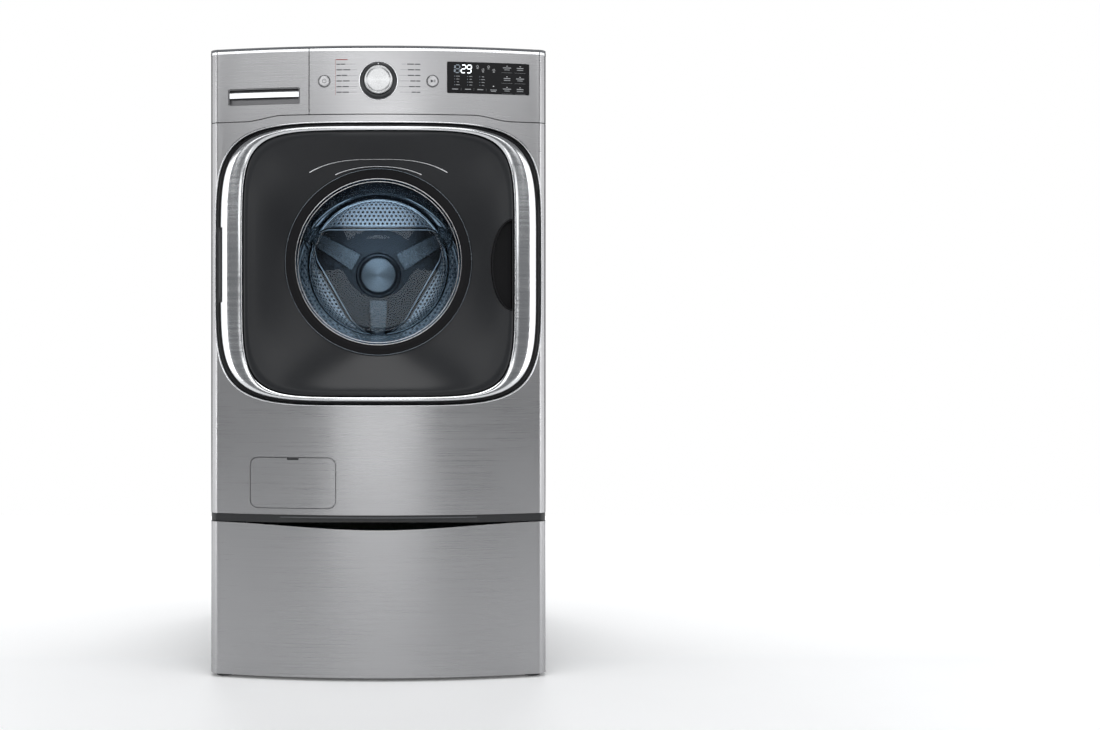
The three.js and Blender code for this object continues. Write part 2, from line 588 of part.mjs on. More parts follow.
function counterweightTop() {
  const [a, b] = [Math.PI * 0.3, Math.PI * 0.7];
  const shape = new THREE.Shape().absarc(0, AXIS_Z, 362, a, b).absarc(0, AXIS_Z, TUB_R + 3, b, a, true);
  return facing(shape, -45, 165);
}

// A coil spring hanging between the brace and a lug of the tub.
function spring(x) {
  const [top, bottom, turns, r] = [1322, 1108.5, 5, 13];
  class Coil extends THREE.Curve {
    getPoint(t) {
      const a = 2 * Math.PI * turns * t;
      return new THREE.Vector3(x + r * Math.cos(a), HANG_Y + r * Math.sin(a), bottom + (top - bottom) * t);
    }
  }
  const wire = new THREE.Shape().absarc(0, 0, 2, 0, 2 * Math.PI);
  return solid(new THREE.ExtrudeGeometry(wire, { bevelEnabled: false, curveSegments: 3, steps: turns * 9,
    extrudePath: new Coil() }));
}

const damperBody = (x) =>
  post(14, x, HANG_Y, WASHER_BOTTOM + 2.6, 520, 14).subtract(post(9, x, HANG_Y, 400, 530, 12));
const damperRod = (x) => post(7, x, HANG_Y, 440, 649, 12);

function addWashUnit() {
  add("door_gasket", gasket(), MAT.rubber);
  add("tub_front", tubFront(), MAT.white);
  add("tub_back", tubBack(), MAT.white);
  add("counterweight_front", ring(236, 278, -304, TUB_FRONT - GAP, 32), MAT.concrete);
  add("counterweight_top", counterweightTop(), MAT.concrete);
  add("bearing_front", ring(SHAFT_R + 0.5, 44.5, 266, 278, 24), MAT.steel);
  add("bearing_back", ring(SHAFT_R + 0.5, 44.5, 282, 294, 24), MAT.steel);
  add("motor_stator", ring(50, 140, 297, 322, 32), MAT.galvanised);
  add("motor_rotor", turned([[SHAFT_R + 0.5, 328], [150, 328], [150, 300], [155, 300], [155, 332],
    [SHAFT_R + 0.5, 332], [SHAFT_R + 0.5, 328]], 32), MAT.steel);
  add("drum", drum(), MAT.steel);
  for (let i = 0; i < LIFTERS; i++) add(`drum_lifter_${i + 1}`, lifter(i), MAT.steel);
  add("drum_spider", drumSpider(), MAT.galvanised);
  for (const [side, s] of bothSides) {
    add(`hang_spring_${side}`, spring(s * SPRING_X), MAT.steel);
    add(`damper_body_${side}`, damperBody(s * DAMPER_X), MAT.dark);
    add(`damper_rod_${side}`, damperRod(s * DAMPER_X), MAT.steel);
  }
}

// ---------- water ----------
const PUMP = { x: -185, z: 430 };

function drainPump() {
  const body = disc(38, -322, -190, 24, PUMP.x, PUMP.z).add(disc(28, -192, -120, 20, PUMP.x, PUMP.z));
  const foot = box(PUMP.x - 30, PUMP.x + 30, -300, -150, WASHER_BOTTOM + 2.6, PUMP.z - 20);
  return body.add(foot).subtract(disc(28, -330, -225, 24, PUMP.x, PUMP.z));
}

const pumpFilter = () =>
  disc(33, -340, -323, 24, PUMP.x, PUMP.z)
    .add(box(PUMP.x - 24, PUMP.x + 24, -352, -339, PUMP.z - 5, PUMP.z + 5))
    .add(disc(26, -324, -235, 24, PUMP.x, PUMP.z));

function inletValve() {
  const ports = [-1, 1].map((s) => disc(VALVE.r, 370, 400, 16, VALVE.x + (s * VALVE.apart) / 2, VALVE.z));
  const body = box(VALVE.x - 32, VALVE.x + 32, 330, BACK_Y - SHEET - GAP, VALVE.z - 18, VALVE.z + 18);
  return ports.reduce((all, port) => all.add(port), body);
}

function addWater() {
  add("drain_pump", drainPump(), MAT.dark);
  add("pump_filter", pumpFilter(), MAT.white);
  add("inlet_valve", inletValve(), MAT.white);
}

addPedestal();
addShell();
addControls();
addDoor();
addWashUnit();
addWater();

export default machine;
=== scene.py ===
import math

import bmesh
import bpy
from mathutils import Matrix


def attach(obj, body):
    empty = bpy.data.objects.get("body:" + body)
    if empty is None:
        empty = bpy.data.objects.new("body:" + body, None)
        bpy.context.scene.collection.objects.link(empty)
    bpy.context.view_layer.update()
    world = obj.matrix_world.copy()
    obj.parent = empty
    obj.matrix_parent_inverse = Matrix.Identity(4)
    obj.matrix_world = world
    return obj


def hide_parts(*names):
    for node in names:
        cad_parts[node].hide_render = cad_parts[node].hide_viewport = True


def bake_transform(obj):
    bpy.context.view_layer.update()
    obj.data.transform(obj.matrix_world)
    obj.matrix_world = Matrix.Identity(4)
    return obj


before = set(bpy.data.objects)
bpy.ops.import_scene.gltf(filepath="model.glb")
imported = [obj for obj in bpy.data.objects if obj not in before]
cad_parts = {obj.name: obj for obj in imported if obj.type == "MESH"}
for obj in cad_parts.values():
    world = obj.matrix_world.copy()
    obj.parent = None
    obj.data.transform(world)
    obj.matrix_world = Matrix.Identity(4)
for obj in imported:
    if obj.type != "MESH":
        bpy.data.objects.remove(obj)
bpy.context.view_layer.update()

# Sizes in metres: the machine stands on z = 0 and its front faces -Y.
HALF = 0.3685
FLAT_HALF = 0.3465
CORNER_R = 0.022
CORNER_Y = -0.345
BOW = 0.038
SIDE_FRONT = -0.318
DOOR_Z = 0.901
AXIS_Z = 0.908
CONTROL_Z = 1.296
VENT_X = 0.27
MM = 0.001
CAMERA_Y, CAMERA_Z = -3.045, 0.74
CAMERA_LENS = 40.4


def front_y(x):
    """Depth of the bowed front face at x."""
    return CORNER_Y - BOW * (1 - (x / FLAT_HALF) ** 2)


def door_y(x):
    """Depth of the door's own, prouder face at x."""
    return -0.352 - 0.048 * (1 - (x / 0.354) ** 2)


def seam_z(x):
    """Height of the joint between front panel and control panel."""
    t = min(1, max(0, (0.290 - abs(x)) / 0.085))
    return 1.212 + 0.012 * t * t * (3 - 2 * t)


# ---------- camera, light and floor ----------
def add_camera():
    bpy.ops.object.camera_add(location=(0, CAMERA_Y, CAMERA_Z), rotation=(math.radians(90), 0, 0))
    camera = bpy.context.object
    camera.data.sensor_width = 36
    camera.data.lens = CAMERA_LENS
    camera.data.shift_x = 0.156
    camera.data.shift_y = -0.024
    bpy.context.scene.camera = camera


def add_softbox(at, turn, size, power, color=(1, 1, 1)):
    bpy.ops.object.light_add(type="AREA", location=at, rotation=[math.radians(a) for a in turn])
    lamp = bpy.context.object
    lamp.data.shape = "RECTANGLE"
    lamp.data.size, lamp.data.size_y = size
    lamp.data.energy = power
    lamp.data.color = color


def add_studio():
    world = bpy.context.scene.world or bpy.data.worlds.new("studio")
    bpy.context.scene.world = world
    world.use_nodes = True
    nodes, links = world.node_tree.nodes, world.node_tree.links
    room = nodes["Background"]
    room.inputs["Color"].default_value = (0.90, 0.92, 0.95, 1)
    room.inputs["Strength"].default_value = 0.22
    backdrop = nodes.new("ShaderNodeBackground")
    backdrop.inputs["Color"].default_value = (1, 1, 1, 1)
    backdrop.inputs["Strength"].default_value = 1.0
    seen = nodes.new("ShaderNodeLightPath")
    mix = nodes.new("ShaderNodeMixShader")
    links.new(seen.outputs["Is Camera Ray"], mix.inputs[0])
    links.new(room.outputs[0], mix.inputs[1])
    links.new(backdrop.outputs[0], mix.inputs[2])
    links.new(mix.outputs[0], nodes["World Output"].inputs["Surface"])
    add_softbox((0, -4.3, 2.45), (90, 0, 0), (6.2, 1.1), 44)
    add_softbox((0, -4.2, 1.60), (90, 0, 0), (1.3, 0.8), 7)
    add_softbox((0, -4.3, 0.40), (90, 0, 0), (1.5, 0.7), 7)
    add_softbox((0, -1.4, 3.7), (25, 0, 0), (2.6, 1.6), 46)
    for side in (-1, 1):
        add_softbox((side * 2.35, -1.9, 0.9), (90, 0, side * 51), (0.35, 2.3), 11)
        add_softbox((side * 2.3, -0.5, 0.9), (90, 0, side * 82), (2.2, 2.3), 22)
    add_softbox((0, 2.0, 3.2), (-40, 0, 0), (2.6, 1.6), 55)
    bpy.ops.object.light_add(type="POINT", location=(0, -0.04, 1.05))
    lamp = bpy.context.object
    lamp.data.energy, lamp.data.shadow_soft_size, lamp.data.color = 0.30, 0.11, (0.74, 0.87, 1.0)
    lamp.visible_transmission = False
    bpy.ops.mesh.primitive_plane_add(size=7, location=(0, -1.4, -0.0005))
    floor = bpy.context.object
    floor.name = "studio_floor"
    floor.data.materials.append(floor_paint())
    bpy.context.scene.view_settings.view_transform = "Standard"


# ---------- finishes ----------
def finish_base(name, color, rough, metal=0.0, **sockets):
    """A new material with its shader's own sockets set; returns the material, its nodes, links and shader."""
    made = bpy.data.materials.new(name)
    made.use_nodes = True
    nodes, links = made.node_tree.nodes, made.node_tree.links
    shader = nodes["Principled BSDF"]
    shader.inputs["Base Color"].default_value = (*color, 1)
    shader.inputs["Roughness"].default_value = rough
    shader.inputs["Metallic"].default_value = metal
    for socket, value in sockets.items():
        shader.inputs[socket.replace("_", " ")].default_value = value
    return made, nodes, links, shader


def place_on_object(nodes, links, scale=(1, 1, 1), at=(0, 0, 0)):
    coords = nodes.new("ShaderNodeTexCoord")
    mapping = nodes.new("ShaderNodeMapping")
    mapping.inputs["Scale"].default_value = scale
    mapping.inputs["Location"].default_value = at
    links.new(coords.outputs["Object"], mapping.inputs["Vector"])
    return mapping.outputs["Vector"]


def noise(nodes, links, vector, scale, detail=3.0, rough=0.55):
    made = nodes.new("ShaderNodeTexNoise")
    made.inputs["Scale"].default_value = scale
    made.inputs["Detail"].default_value = detail
    made.inputs["Roughness"].default_value = rough
    links.new(vector, made.inputs["Vector"])
    return made.outputs["Fac"]


def spread(nodes, links, value, low, high, from_low=0.3, from_high=0.7):
    made = nodes.new("ShaderNodeMapRange")
    for socket, number in (("From Min", from_low), ("From Max", from_high), ("To Min", low), ("To Max", high)):
        made.inputs[socket].default_value = number
    links.new(value, made.inputs["Value"])
    return made.outputs["Result"]


def tint(nodes, links, value, dark, light, shader):
    ramp = nodes.new("ShaderNodeValToRGB")
    ramp.color_ramp.elements[0].position, ramp.color_ramp.elements[0].color = 0.3, (*dark, 1)
    ramp.color_ramp.elements[1].position, ramp.color_ramp.elements[1].color = 0.7, (*light, 1)
    links.new(value, ramp.inputs["Fac"])
    links.new(ramp.outputs["Color"], shader.inputs["Base Color"])
    return ramp


def emboss(nodes, links, height, shader, strength, distance):
    made = nodes.new("ShaderNodeBump")
    made.inputs["Strength"].default_value = strength
    made.inputs["Distance"].default_value = distance
    links.new(height, made.inputs["Height"])
    links.new(made.outputs["Normal"], shader.inputs["Normal"])


def brushed_metal(name, color, rough, grain=(3, 3, 900), depth=0.00004, mottle=0.05, stretch=0.0):
    """Brushed sheet: long fine scratches along the grain, with slow wear in tone and gloss. The scratches run level,
    so they draw highlights out upwards."""
    made, nodes, links, shader = finish_base(name, color, rough, 1.0)
    if stretch:
        shader.inputs["Anisotropic"].default_value = stretch
        shader.inputs["Anisotropic Rotation"].default_value = 0.25
        level = nodes.new("ShaderNodeTangent")
        level.direction_type, level.axis = "RADIAL", "Z"
        links.new(level.outputs["Tangent"], shader.inputs["Tangent"])
    lines = noise(nodes, links, place_on_object(nodes, links, grain), 1.0, 4, 0.7)
    cloud = noise(nodes, links, place_on_object(nodes, links), 5.0)
    darker = tuple(c * (1 - mottle) for c in color)
    lighter = tuple(min(1, c * (1 + mottle)) for c in color)
    tint(nodes, links, lines, darker, lighter, shader)
    both = nodes.new("ShaderNodeMath")
    both.operation = "ADD"
    links.new(spread(nodes, links, lines, rough - 0.06, rough + 0.05), both.inputs[0])
    links.new(spread(nodes, links, cloud, -0.02, 0.03), both.inputs[1])
    links.new(both.outputs[0], shader.inputs["Roughness"])
    emboss(nodes, links, lines, shader, 0.16, depth)
    return made


def paint(name, color, rough, peel=0.02, size=700, **sockets):
    """Enamel or moulded plastic: faint orange peel or grain and slow changes of tone and gloss."""
    made, nodes, links, shader = finish_base(name, color, rough, 0.0, **sockets)
    where = place_on_object(nodes, links)
    cloud = noise(nodes, links, where, 6.0)
    tint(nodes, links, cloud, tuple(c * 0.93 for c in color), tuple(min(1, c * 1.05) for c in color), shader)
    links.new(spread(nodes, links, cloud, rough - 0.03, rough + 0.04), shader.inputs["Roughness"])
    emboss(nodes, links, noise(nodes, links, where, size, 2), shader, 0.25, peel * MM)
    return made


def spangled_zinc(name, color, rough):
    """Galvanised sheet with its frosted crystal patches."""
    made, nodes, links, shader = finish_base(name, color, rough, 1.0)
    where = place_on_object(nodes, links)
    cells = nodes.new("ShaderNodeTexVoronoi")
    cells.inputs["Scale"].default_value = 150
    links.new(where, cells.inputs["Vector"])
    grey = nodes.new("ShaderNodeRGBToBW")
    links.new(cells.outputs["Color"], grey.inputs["Color"])
    tint(nodes, links, grey.outputs["Val"], tuple(c * 0.965 for c in color),
         tuple(min(1, c * 1.03) for c in color), shader)
    links.new(spread(nodes, links, grey.outputs["Val"], rough - 0.02, rough + 0.03), shader.inputs["Roughness"])
    emboss(nodes, links, noise(nodes, links, where, 60), shader, 0.2, 0.0002)
    return made


def clear_glass():
    made, nodes, links, shader = finish_base("window_glass", (0.62, 0.70, 0.76), 0.02, 0.0,
                                             Transmission_Weight=1.0, IOR=1.22)
    smear = noise(nodes, links, place_on_object(nodes, links), 9.0)
    links.new(spread(nodes, links, smear, 0.0, 0.03, 0.4, 0.75), shader.inputs["Roughness"])
    return made


def floor_paint():
    """White studio floor that brightens behind the machine until it meets the backdrop."""
    made, nodes, links, shader = finish_base("floor_paint", (0.90, 0.905, 0.91), 0.6)
    where = place_on_object(nodes, links)
    split = nodes.new("ShaderNodeSeparateXYZ")
    links.new(where, split.inputs[0])
    cloud = noise(nodes, links, where, 3.0, 2)
    tint(nodes, links, cloud, (0.89, 0.895, 0.90), (0.91, 0.915, 0.92), shader)
    shader.inputs["Emission Color"].default_value = (1, 1, 1, 1)
    links.new(spread(nodes, links, split.outputs[1], 0.07, 0.75, 1.2, 3.2), shader.inputs["Emission Strength"])
    return made


def lit(name, color, strength):
    made, nodes, links, shader = finish_base(name, color, 0.4, 0.0, Emission_Strength=strength)
    glow = noise(nodes, links, place_on_object(nodes, links), 300.0, 1)
    tint(nodes, links, glow, tuple(c * 0.92 for c in color), color, shader)
    shader.inputs["Emission Color"].default_value = (*color, 1)
    return made


# ---------- modelling by hand ----------
def only(obj):
    """Leaves edit mode and selects this object alone."""
    if bpy.context.mode != "OBJECT":
        bpy.ops.object.mode_set(mode="OBJECT")
    bpy.ops.object.select_all(action="DESELECT")
    obj.select_set(True)
    bpy.context.view_layer.objects.active = obj
    return obj


def edit(obj, kind="FACE"):
    only(obj)
    bpy.ops.object.mode_set(mode="EDIT")
    bpy.ops.mesh.select_mode(type=kind)
    bpy.ops.mesh.select_all(action="DESELECT")


def pick(obj, kind, test):
    """In edit mode, selects the verts, edges or faces that pass the test."""
    mesh = bmesh.from_edit_mesh(obj.data)
    for part in (mesh.verts, mesh.edges, mesh.faces):
        for element in part:
            element.select = False
    for element in getattr(mesh, kind):
        if test(element):
            element.select_set(True)
    bmesh.update_edit_mesh(obj.data)


def placed(name):
    """Names the new primitive and puts its place into its mesh."""
    bpy.ops.object.transform_apply(location=True, rotation=True, scale=True)
    made = bpy.context.object
    made.name = made.data.name = name
    return made


def block(name, x0, x1, y0, y1, z0, z1, bevel=0.0, segments=3):
    bpy.ops.object.select_all(action="DESELECT")
    bpy.ops.mesh.primitive_cube_add(size=1, location=((x0 + x1) / 2, (y0 + y1) / 2, (z0 + z1) / 2),
                                    scale=(x1 - x0, y1 - y0, z1 - z0))
    made = placed(name)
    return bevelled(made, bevel, segments) if bevel else made


def rod(name, radius, x, z, y0, y1, bevel=0.0, sides=48):
    """A round bar along Y."""
    bpy.ops.object.select_all(action="DESELECT")
    bpy.ops.mesh.primitive_cylinder_add(vertices=sides, radius=radius, depth=abs(y1 - y0),
                                        location=(x, (y0 + y1) / 2, z), rotation=(math.radians(90), 0, 0))
    made = placed(name)
    return bevelled(made, bevel, 3) if bevel else made


def use(obj, kind, **settings):
    """Adds a modifier and applies it."""
    only(obj)
    modifier = obj.modifiers.new(kind.lower(), kind)
    for key, value in settings.items():
        setattr(modifier, key, value)
    bpy.ops.object.modifier_apply(modifier=modifier.name)
    return obj


def bevelled(obj, width, segments=3, angle=35):
    return use(obj, "BEVEL", width=width, segments=segments, limit_method="ANGLE",
               angle_limit=math.radians(angle), miter_outer="MITER_ARC")


def cut(obj, *cutters, operation="DIFFERENCE"):
    for cutter in cutters:
        use(obj, "BOOLEAN", object=cutter, operation=operation, solver="EXACT")
        bpy.data.objects.remove(cutter)
    return obj


def joined(name, parts):
    only(parts[0])
    for part in parts[1:]:
        part.select_set(True)
    bpy.ops.object.join()
    made = bpy.context.object
    made.name = made.data.name = name
    return made


def copied(obj, name, shift=(0, 0, 0)):
    only(obj)
    bpy.ops.object.duplicate()
    made = bpy.context.object
    made.name = name
    made.data.name = name
    made.location = shift
    bpy.ops.object.transform_apply(location=True, rotation=True, scale=True)
    return made


def outward(obj, doubles=1e-6):
    edit(obj)
    bpy.ops.mesh.select_all(action="SELECT")
    bpy.ops.mesh.remove_doubles(threshold=doubles)
    bpy.ops.mesh.normals_make_consistent(inside=False)
    bpy.ops.object.mode_set(mode="OBJECT")
    return obj


def spun(name, profile, x=0.0, z=AXIS_Z, steps=128):
    """A turned piece: a closed (radius, y) profile drawn from one vertex and spun about the Y axis."""
    bpy.ops.object.select_all(action="DESELECT")
    bpy.ops.mesh.primitive_plane_add(size=0.001, location=(0, 0, 0))
    made = placed(name)
    edit(made, "VERT")
    bpy.ops.mesh.select_all(action="SELECT")
    bpy.ops.mesh.merge(type="CENTER")
    bpy.ops.transform.translate(value=(x + profile[0][0], profile[0][1], z))
    for (r0, y0), (r1, y1) in zip(profile, profile[1:] + profile[:1]):
        bpy.ops.mesh.extrude_vertices_move(TRANSFORM_OT_translate={"value": (r1 - r0, y1 - y0, 0)})
    bpy.ops.mesh.select_all(action="SELECT")
    bpy.ops.mesh.remove_doubles(threshold=1e-7)
    bpy.ops.mesh.spin(steps=steps, angle=2 * math.pi, center=(x, 0, z), axis=(0, 1, 0))
    bpy.ops.object.mode_set(mode="OBJECT")
    outward(made)
    edit(made)
    bpy.ops.mesh.select_all(action="SELECT")
    bpy.ops.mesh.dissolve_degenerate(threshold=1e-7)
    bpy.ops.object.mode_set(mode="OBJECT")
    return made


def rounded(corners, radius=0.001, steps=4):
    """A (radius, y) profile whose corners are rounded off."""
    out = []
    for i, here in enumerate(corners):
        before, after = corners[i - 1], corners[(i + 1) % len(corners)]
        sides = [(p[0] - here[0], p[1] - here[1]) for p in (before, after)]
        lengths = [math.hypot(*s) for s in sides]
        r = min([radius] + [length * 0.45 for length in lengths])
        if here[0] < 1e-6 or r < 1e-6:
            out.append(here)
            continue
        a, b = [(here[0] + s[0] / n * r, here[1] + s[1] / n * r) for s, n in zip(sides, lengths)]
        for k in range(steps + 1):
            t = k / steps
            out.append(tuple((1 - t) ** 2 * a[j] + 2 * t * (1 - t) * here[j] + t * t * b[j] for j in (0, 1)))
    return out


def squircle_point(a, b, n, t):
    c, s = math.cos(t), math.sin(t)
    return a * math.copysign(abs(c) ** (2 / n), c), b * math.copysign(abs(s) ** (2 / n), s)


def hoop(name, rows, count=240, closed=True):
    """A torus shaped to a bowed, squarish hoop. A row is (half width, half height, power, centre z, depth),
    where depth is a number or a function of x."""
    bpy.ops.object.select_all(action="DESELECT")
    bpy.ops.mesh.primitive_torus_add(major_segments=count, minor_segments=len(rows), major_radius=1,
                                     minor_radius=0.25)
    made = placed(name)
    turns = [2 * math.pi * i / count for i in range(count)]
    for i, t in enumerate(turns):
        for j, (a, b, n, cz, depth) in enumerate(rows):
            x, z = squircle_point(a, b, n, t)
            made.data.vertices[i * len(rows) + j].co = (x, depth(x) if callable(depth) else depth, z + cz)
    if not closed:
        edit(made)
        ring = len(rows)
        pick(made, "faces", lambda f: {v.index % ring for v in f.verts} == {0, ring - 1})
        bpy.ops.mesh.delete(type="FACE")
        bpy.ops.object.mode_set(mode="OBJECT")
    return outward(made)


def plug(name, a, b, n, cz, y0, y1, cx=0.0, count=240):
    """A solid with a squarish outline along Y, to cut with."""
    bpy.ops.object.select_all(action="DESELECT")
    bpy.ops.mesh.primitive_cylinder_add(vertices=count, radius=1, depth=2)
    made = placed(name)
    for v in made.data.vertices:
        t = math.atan2(v.co.y, v.co.x)
        x, z = squircle_point(a, b, n, t)
        v.co = (cx + x, y0 if v.co.z < 0 else y1, cz + z)
    return outward(made)


def rounded_bar(name, cx, cz, w, h, r, y0, y1, steps=8):
    """A plate with rounded corners, standing across Y."""
    made = block(name, cx - w / 2, cx + w / 2, y0, y1, cz - h / 2, cz + h / 2)
    edit(made, "EDGE")
    pick(made, "edges", lambda e: abs(e.verts[0].co.y - e.verts[1].co.y) > 1e-6)
    bpy.ops.mesh.bevel(offset=r, segments=steps)
    bpy.ops.object.mode_set(mode="OBJECT")
    return made


def front_sheet(name, foot, head, proud=0.0, inset=0.0, across=72, thick=0.0025):
    """A sheet that follows the machine's bowed front and both rounded corners, from foot(x) up to head(x)."""
    path = [(-HALF + inset, SIDE_FRONT)]
    r = CORNER_R - inset
    for k in range(17):
        a = math.pi + math.pi / 2 * k / 16
        path.append((-FLAT_HALF + r * math.cos(a), CORNER_Y + CORNER_R + r * math.sin(a)))
    for k in range(1, across):
        x = -FLAT_HALF + 2 * FLAT_HALF * k / across
        path.append((x, front_y(x) + inset - proud))
    path += [(-x, y) for x, y in path[17::-1]]
    bpy.ops.object.select_all(action="DESELECT")
    bpy.ops.mesh.primitive_grid_add(x_subdivisions=len(path) - 1, y_subdivisions=1, size=2)
    made = placed(name)
    for v in made.data.vertices:
        x, y = path[round((v.co.x + 1) / 2 * (len(path) - 1))]
        v.co = (x, y, foot(x) if v.co.y < 0 else head(x))
    only(made)
    edit(made)
    bpy.ops.mesh.select_all(action="SELECT")
    bpy.ops.mesh.normals_make_consistent(inside=False)
    bpy.ops.object.mode_set(mode="OBJECT")
    if made.data.polygons[len(path) // 2].normal.y > 0:
        made.data.flip_normals()
    return use(made, "SOLIDIFY", thickness=thick, offset=-1)


def smooth(obj, angle=35, crease=True):
    """Shades smooth; the line where the bow meets the rounded corners stays crisp."""
    if crease:
        edit(obj, "EDGE")
        pick(obj, "edges", lambda e: all(abs(abs(v.co.x) - FLAT_HALF) < 2e-4 for v in e.verts)
             and abs(e.verts[0].co.z - e.verts[1].co.z) > 0.001)
        bpy.ops.mesh.mark_sharp()
        bpy.ops.object.mode_set(mode="OBJECT")
    only(obj)
    bpy.ops.object.shade_smooth_by_angle(angle=math.radians(angle), keep_sharp_edges=True)
    return use(obj, "WEIGHTED_NORMAL", mode="FACE_AREA_WITH_ANGLE", keep_sharp=True, weight=80)


def set_in(obj, body, look, slot, *nodes, angle=35, crease=False):
    """Finishes a piece: shading, material, the body that it moves with and the CAD nodes that it stands for."""
    smooth(obj, angle, crease)
    obj.data.materials.clear()
    obj.data.materials.append(look)
    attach(obj, body)
    if nodes:
        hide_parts(*nodes)
    return obj


def laid_on_front(obj, base=front_y):
    """Moves each vertex of a flat mark on to the bowed face."""
    for v in obj.data.vertices:
        v.co.y += base(v.co.x)
    return obj


def dressed_copy(node, name, bevel=0.0, segments=2, angle=35):
    """A copy of a CAD solid, merged and freed of needless edges, with its edges eased."""
    made = bpy.data.objects.new(name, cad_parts[node].data.copy())
    bpy.context.collection.objects.link(made)
    edit(made)
    bpy.ops.mesh.select_all(action="SELECT")
    bpy.ops.mesh.remove_doubles(threshold=1e-5)
    bpy.ops.mesh.dissolve_limited(angle_limit=math.radians(0.3))
    bpy.ops.object.mode_set(mode="OBJECT")
    return bevelled(made, bevel, segments, angle) if bevel else made


# ---------- the finishes of this machine ----------
STEEL = brushed_metal("brushed_stainless", (0.37, 0.37, 0.378), 0.30, stretch=0.6)
# A darker copy of the brushed steel: painted shade, in the pull's cup and in the rings round the keys.
SHADED_STEEL = brushed_metal("shaded_stainless", (0.16, 0.16, 0.165), 0.34)
CHROME = brushed_metal("satin_chrome", (0.66, 0.67, 0.685), 0.17, (4, 4, 260), 0.00001, 0.02)
GRAPHITE = paint("graphite_enamel", (0.085, 0.09, 0.098), 0.42, 0.03, 900, Coat_Weight=0.25, Coat_Roughness=0.3)
ZINC = spangled_zinc("galvanised_sheet", (0.60, 0.62, 0.64), 0.38)
BLACK = paint("black_satin_plastic", (0.012, 0.013, 0.015), 0.38, 0.02, 1400)
# Near-black matt: painted shade in the gap round the door ring and in the handle's recess; also the black border round
# the window.
SHADOW = paint("matt_black_lacquer", (0.003, 0.003, 0.004), 0.5, 0.002, 60, Specular_IOR_Level=0.15)
PANE = paint("display_pane_black", (0.004, 0.004, 0.005), 0.22, 0.002, 60, Specular_IOR_Level=0.12)
DISH = paint("smoked_dish_lacquer", (0.008, 0.009, 0.011), 0.36, 0.002, 60, Specular_IOR_Level=0.30,
             Coat_Weight=0.08, Coat_Roughness=0.22)
GLASS = clear_glass()
HOT = paint("red_port_plastic", (0.42, 0.03, 0.025), 0.4, 0.02, 900)
COLD = paint("blue_port_plastic", (0.03, 0.10, 0.42), 0.4, 0.02, 900)
RUBBER = paint("grey_gasket_rubber", (0.16, 0.165, 0.17), 0.62, 0.05, 900)
WHITE = paint("pale_moulded_plastic", (0.66, 0.67, 0.68), 0.45, 0.02, 900)
CONCRETE = paint("cast_concrete", (0.42, 0.41, 0.39), 0.9, 0.6, 160)
BOARD = paint("circuit_board", (0.02, 0.13, 0.07), 0.4, 0.05, 500)
# A dark copy of the bright drum steel below: painted shade inside the door and drum, on the window's trim, the back's
# ribs and the lifters.
DRUM_STEEL_IN_SHADE = brushed_metal("shaded_drum_steel", (0.17, 0.195, 0.22), 0.24, (60, 6, 60), 0.00001, 0.04)
MACHINED = brushed_metal("bright_drum_steel", (0.70, 0.74, 0.79), 0.22, (60, 6, 60), 0.00001, 0.04)
PRINT = paint("white_print", (0.72, 0.73, 0.74), 0.5, 0.01, 900)
DARK_PRINT = paint("charcoal_print", (0.035, 0.036, 0.04), 0.5, 0.01, 900)
RED_PRINT = paint("dark_red_print", (0.24, 0.035, 0.03), 0.5, 0.01, 900)
LIT_WHITE = lit("lit_digits", (0.92, 0.97, 1.0), 1.6)
LIT_DIM = lit("dim_digits", (0.16, 0.19, 0.22), 0.35)


def turned_metal(name, color, rough, x, z):
    """Spun metal: fine rings about an axis along Y through (x, z)."""
    made, nodes, links, shader = finish_base(name, color, rough, 1.0)
    rings = nodes.new("ShaderNodeTexWave")
    rings.wave_type, rings.rings_direction = "RINGS", "Y"
    rings.inputs["Scale"].default_value = 900
    rings.inputs["Distortion"].default_value = 1.2
    rings.inputs["Detail"].default_value = 3
    links.new(place_on_object(nodes, links, (1, 1, 1), (-x, 0, -z)), rings.inputs["Vector"])
    tint(nodes, links, rings.outputs["Fac"], tuple(c * 0.93 for c in color), color, shader)
    links.new(spread(nodes, links, rings.outputs["Fac"], rough - 0.04, rough + 0.04), shader.inputs["Roughness"])
    emboss(nodes, links, rings.outputs["Fac"], shader, 0.3, 0.00002)
    shader.inputs["Anisotropic"].default_value = 0.8
    shader.inputs["Anisotropic Rotation"].default_value = 0.25
    tangent = nodes.new("ShaderNodeTangent")
    tangent.direction_type, tangent.axis = "RADIAL", "Y"
    links.new(tangent.outputs["Tangent"], shader.inputs["Tangent"])
    return made


# ---------- front panel, hatch and collar ----------
def add_front_panel():
    panel = front_sheet("washer_front", lambda x: 0.3586, lambda x: seam_z(x) - 0.0009)
    cut(panel, plug("door_hole", 0.3562, 0.3052, 5, DOOR_Z, -0.42, -0.33),
        rounded_bar("hatch_hole", -0.1855, 0.4275, 0.1882, 0.1112, 0.0180, -0.42, -0.33))
    bevelled(panel, 0.0005, 3)
    set_in(panel, "cabinet", STEEL, "brushed_front", "front_panel", crease=True)
    rows = [(0.3590, -0.0001), (0.3580, -0.0009), (0.3568, -0.0011), (0.3558, -0.0004), (0.3553, 0.0010),
            (0.3552, 0.0125), (0.3562, 0.0125), (0.3566, 0.0030), (0.3588, 0.0026)]
    lip = hoop("door_opening_lip", [(a, a - 0.051, 5, DOOR_Z, lambda x, d=d: front_y(x) + d) for a, d in rows])
    set_in(lip, "cabinet", CHROME, "bezel", angle=60)


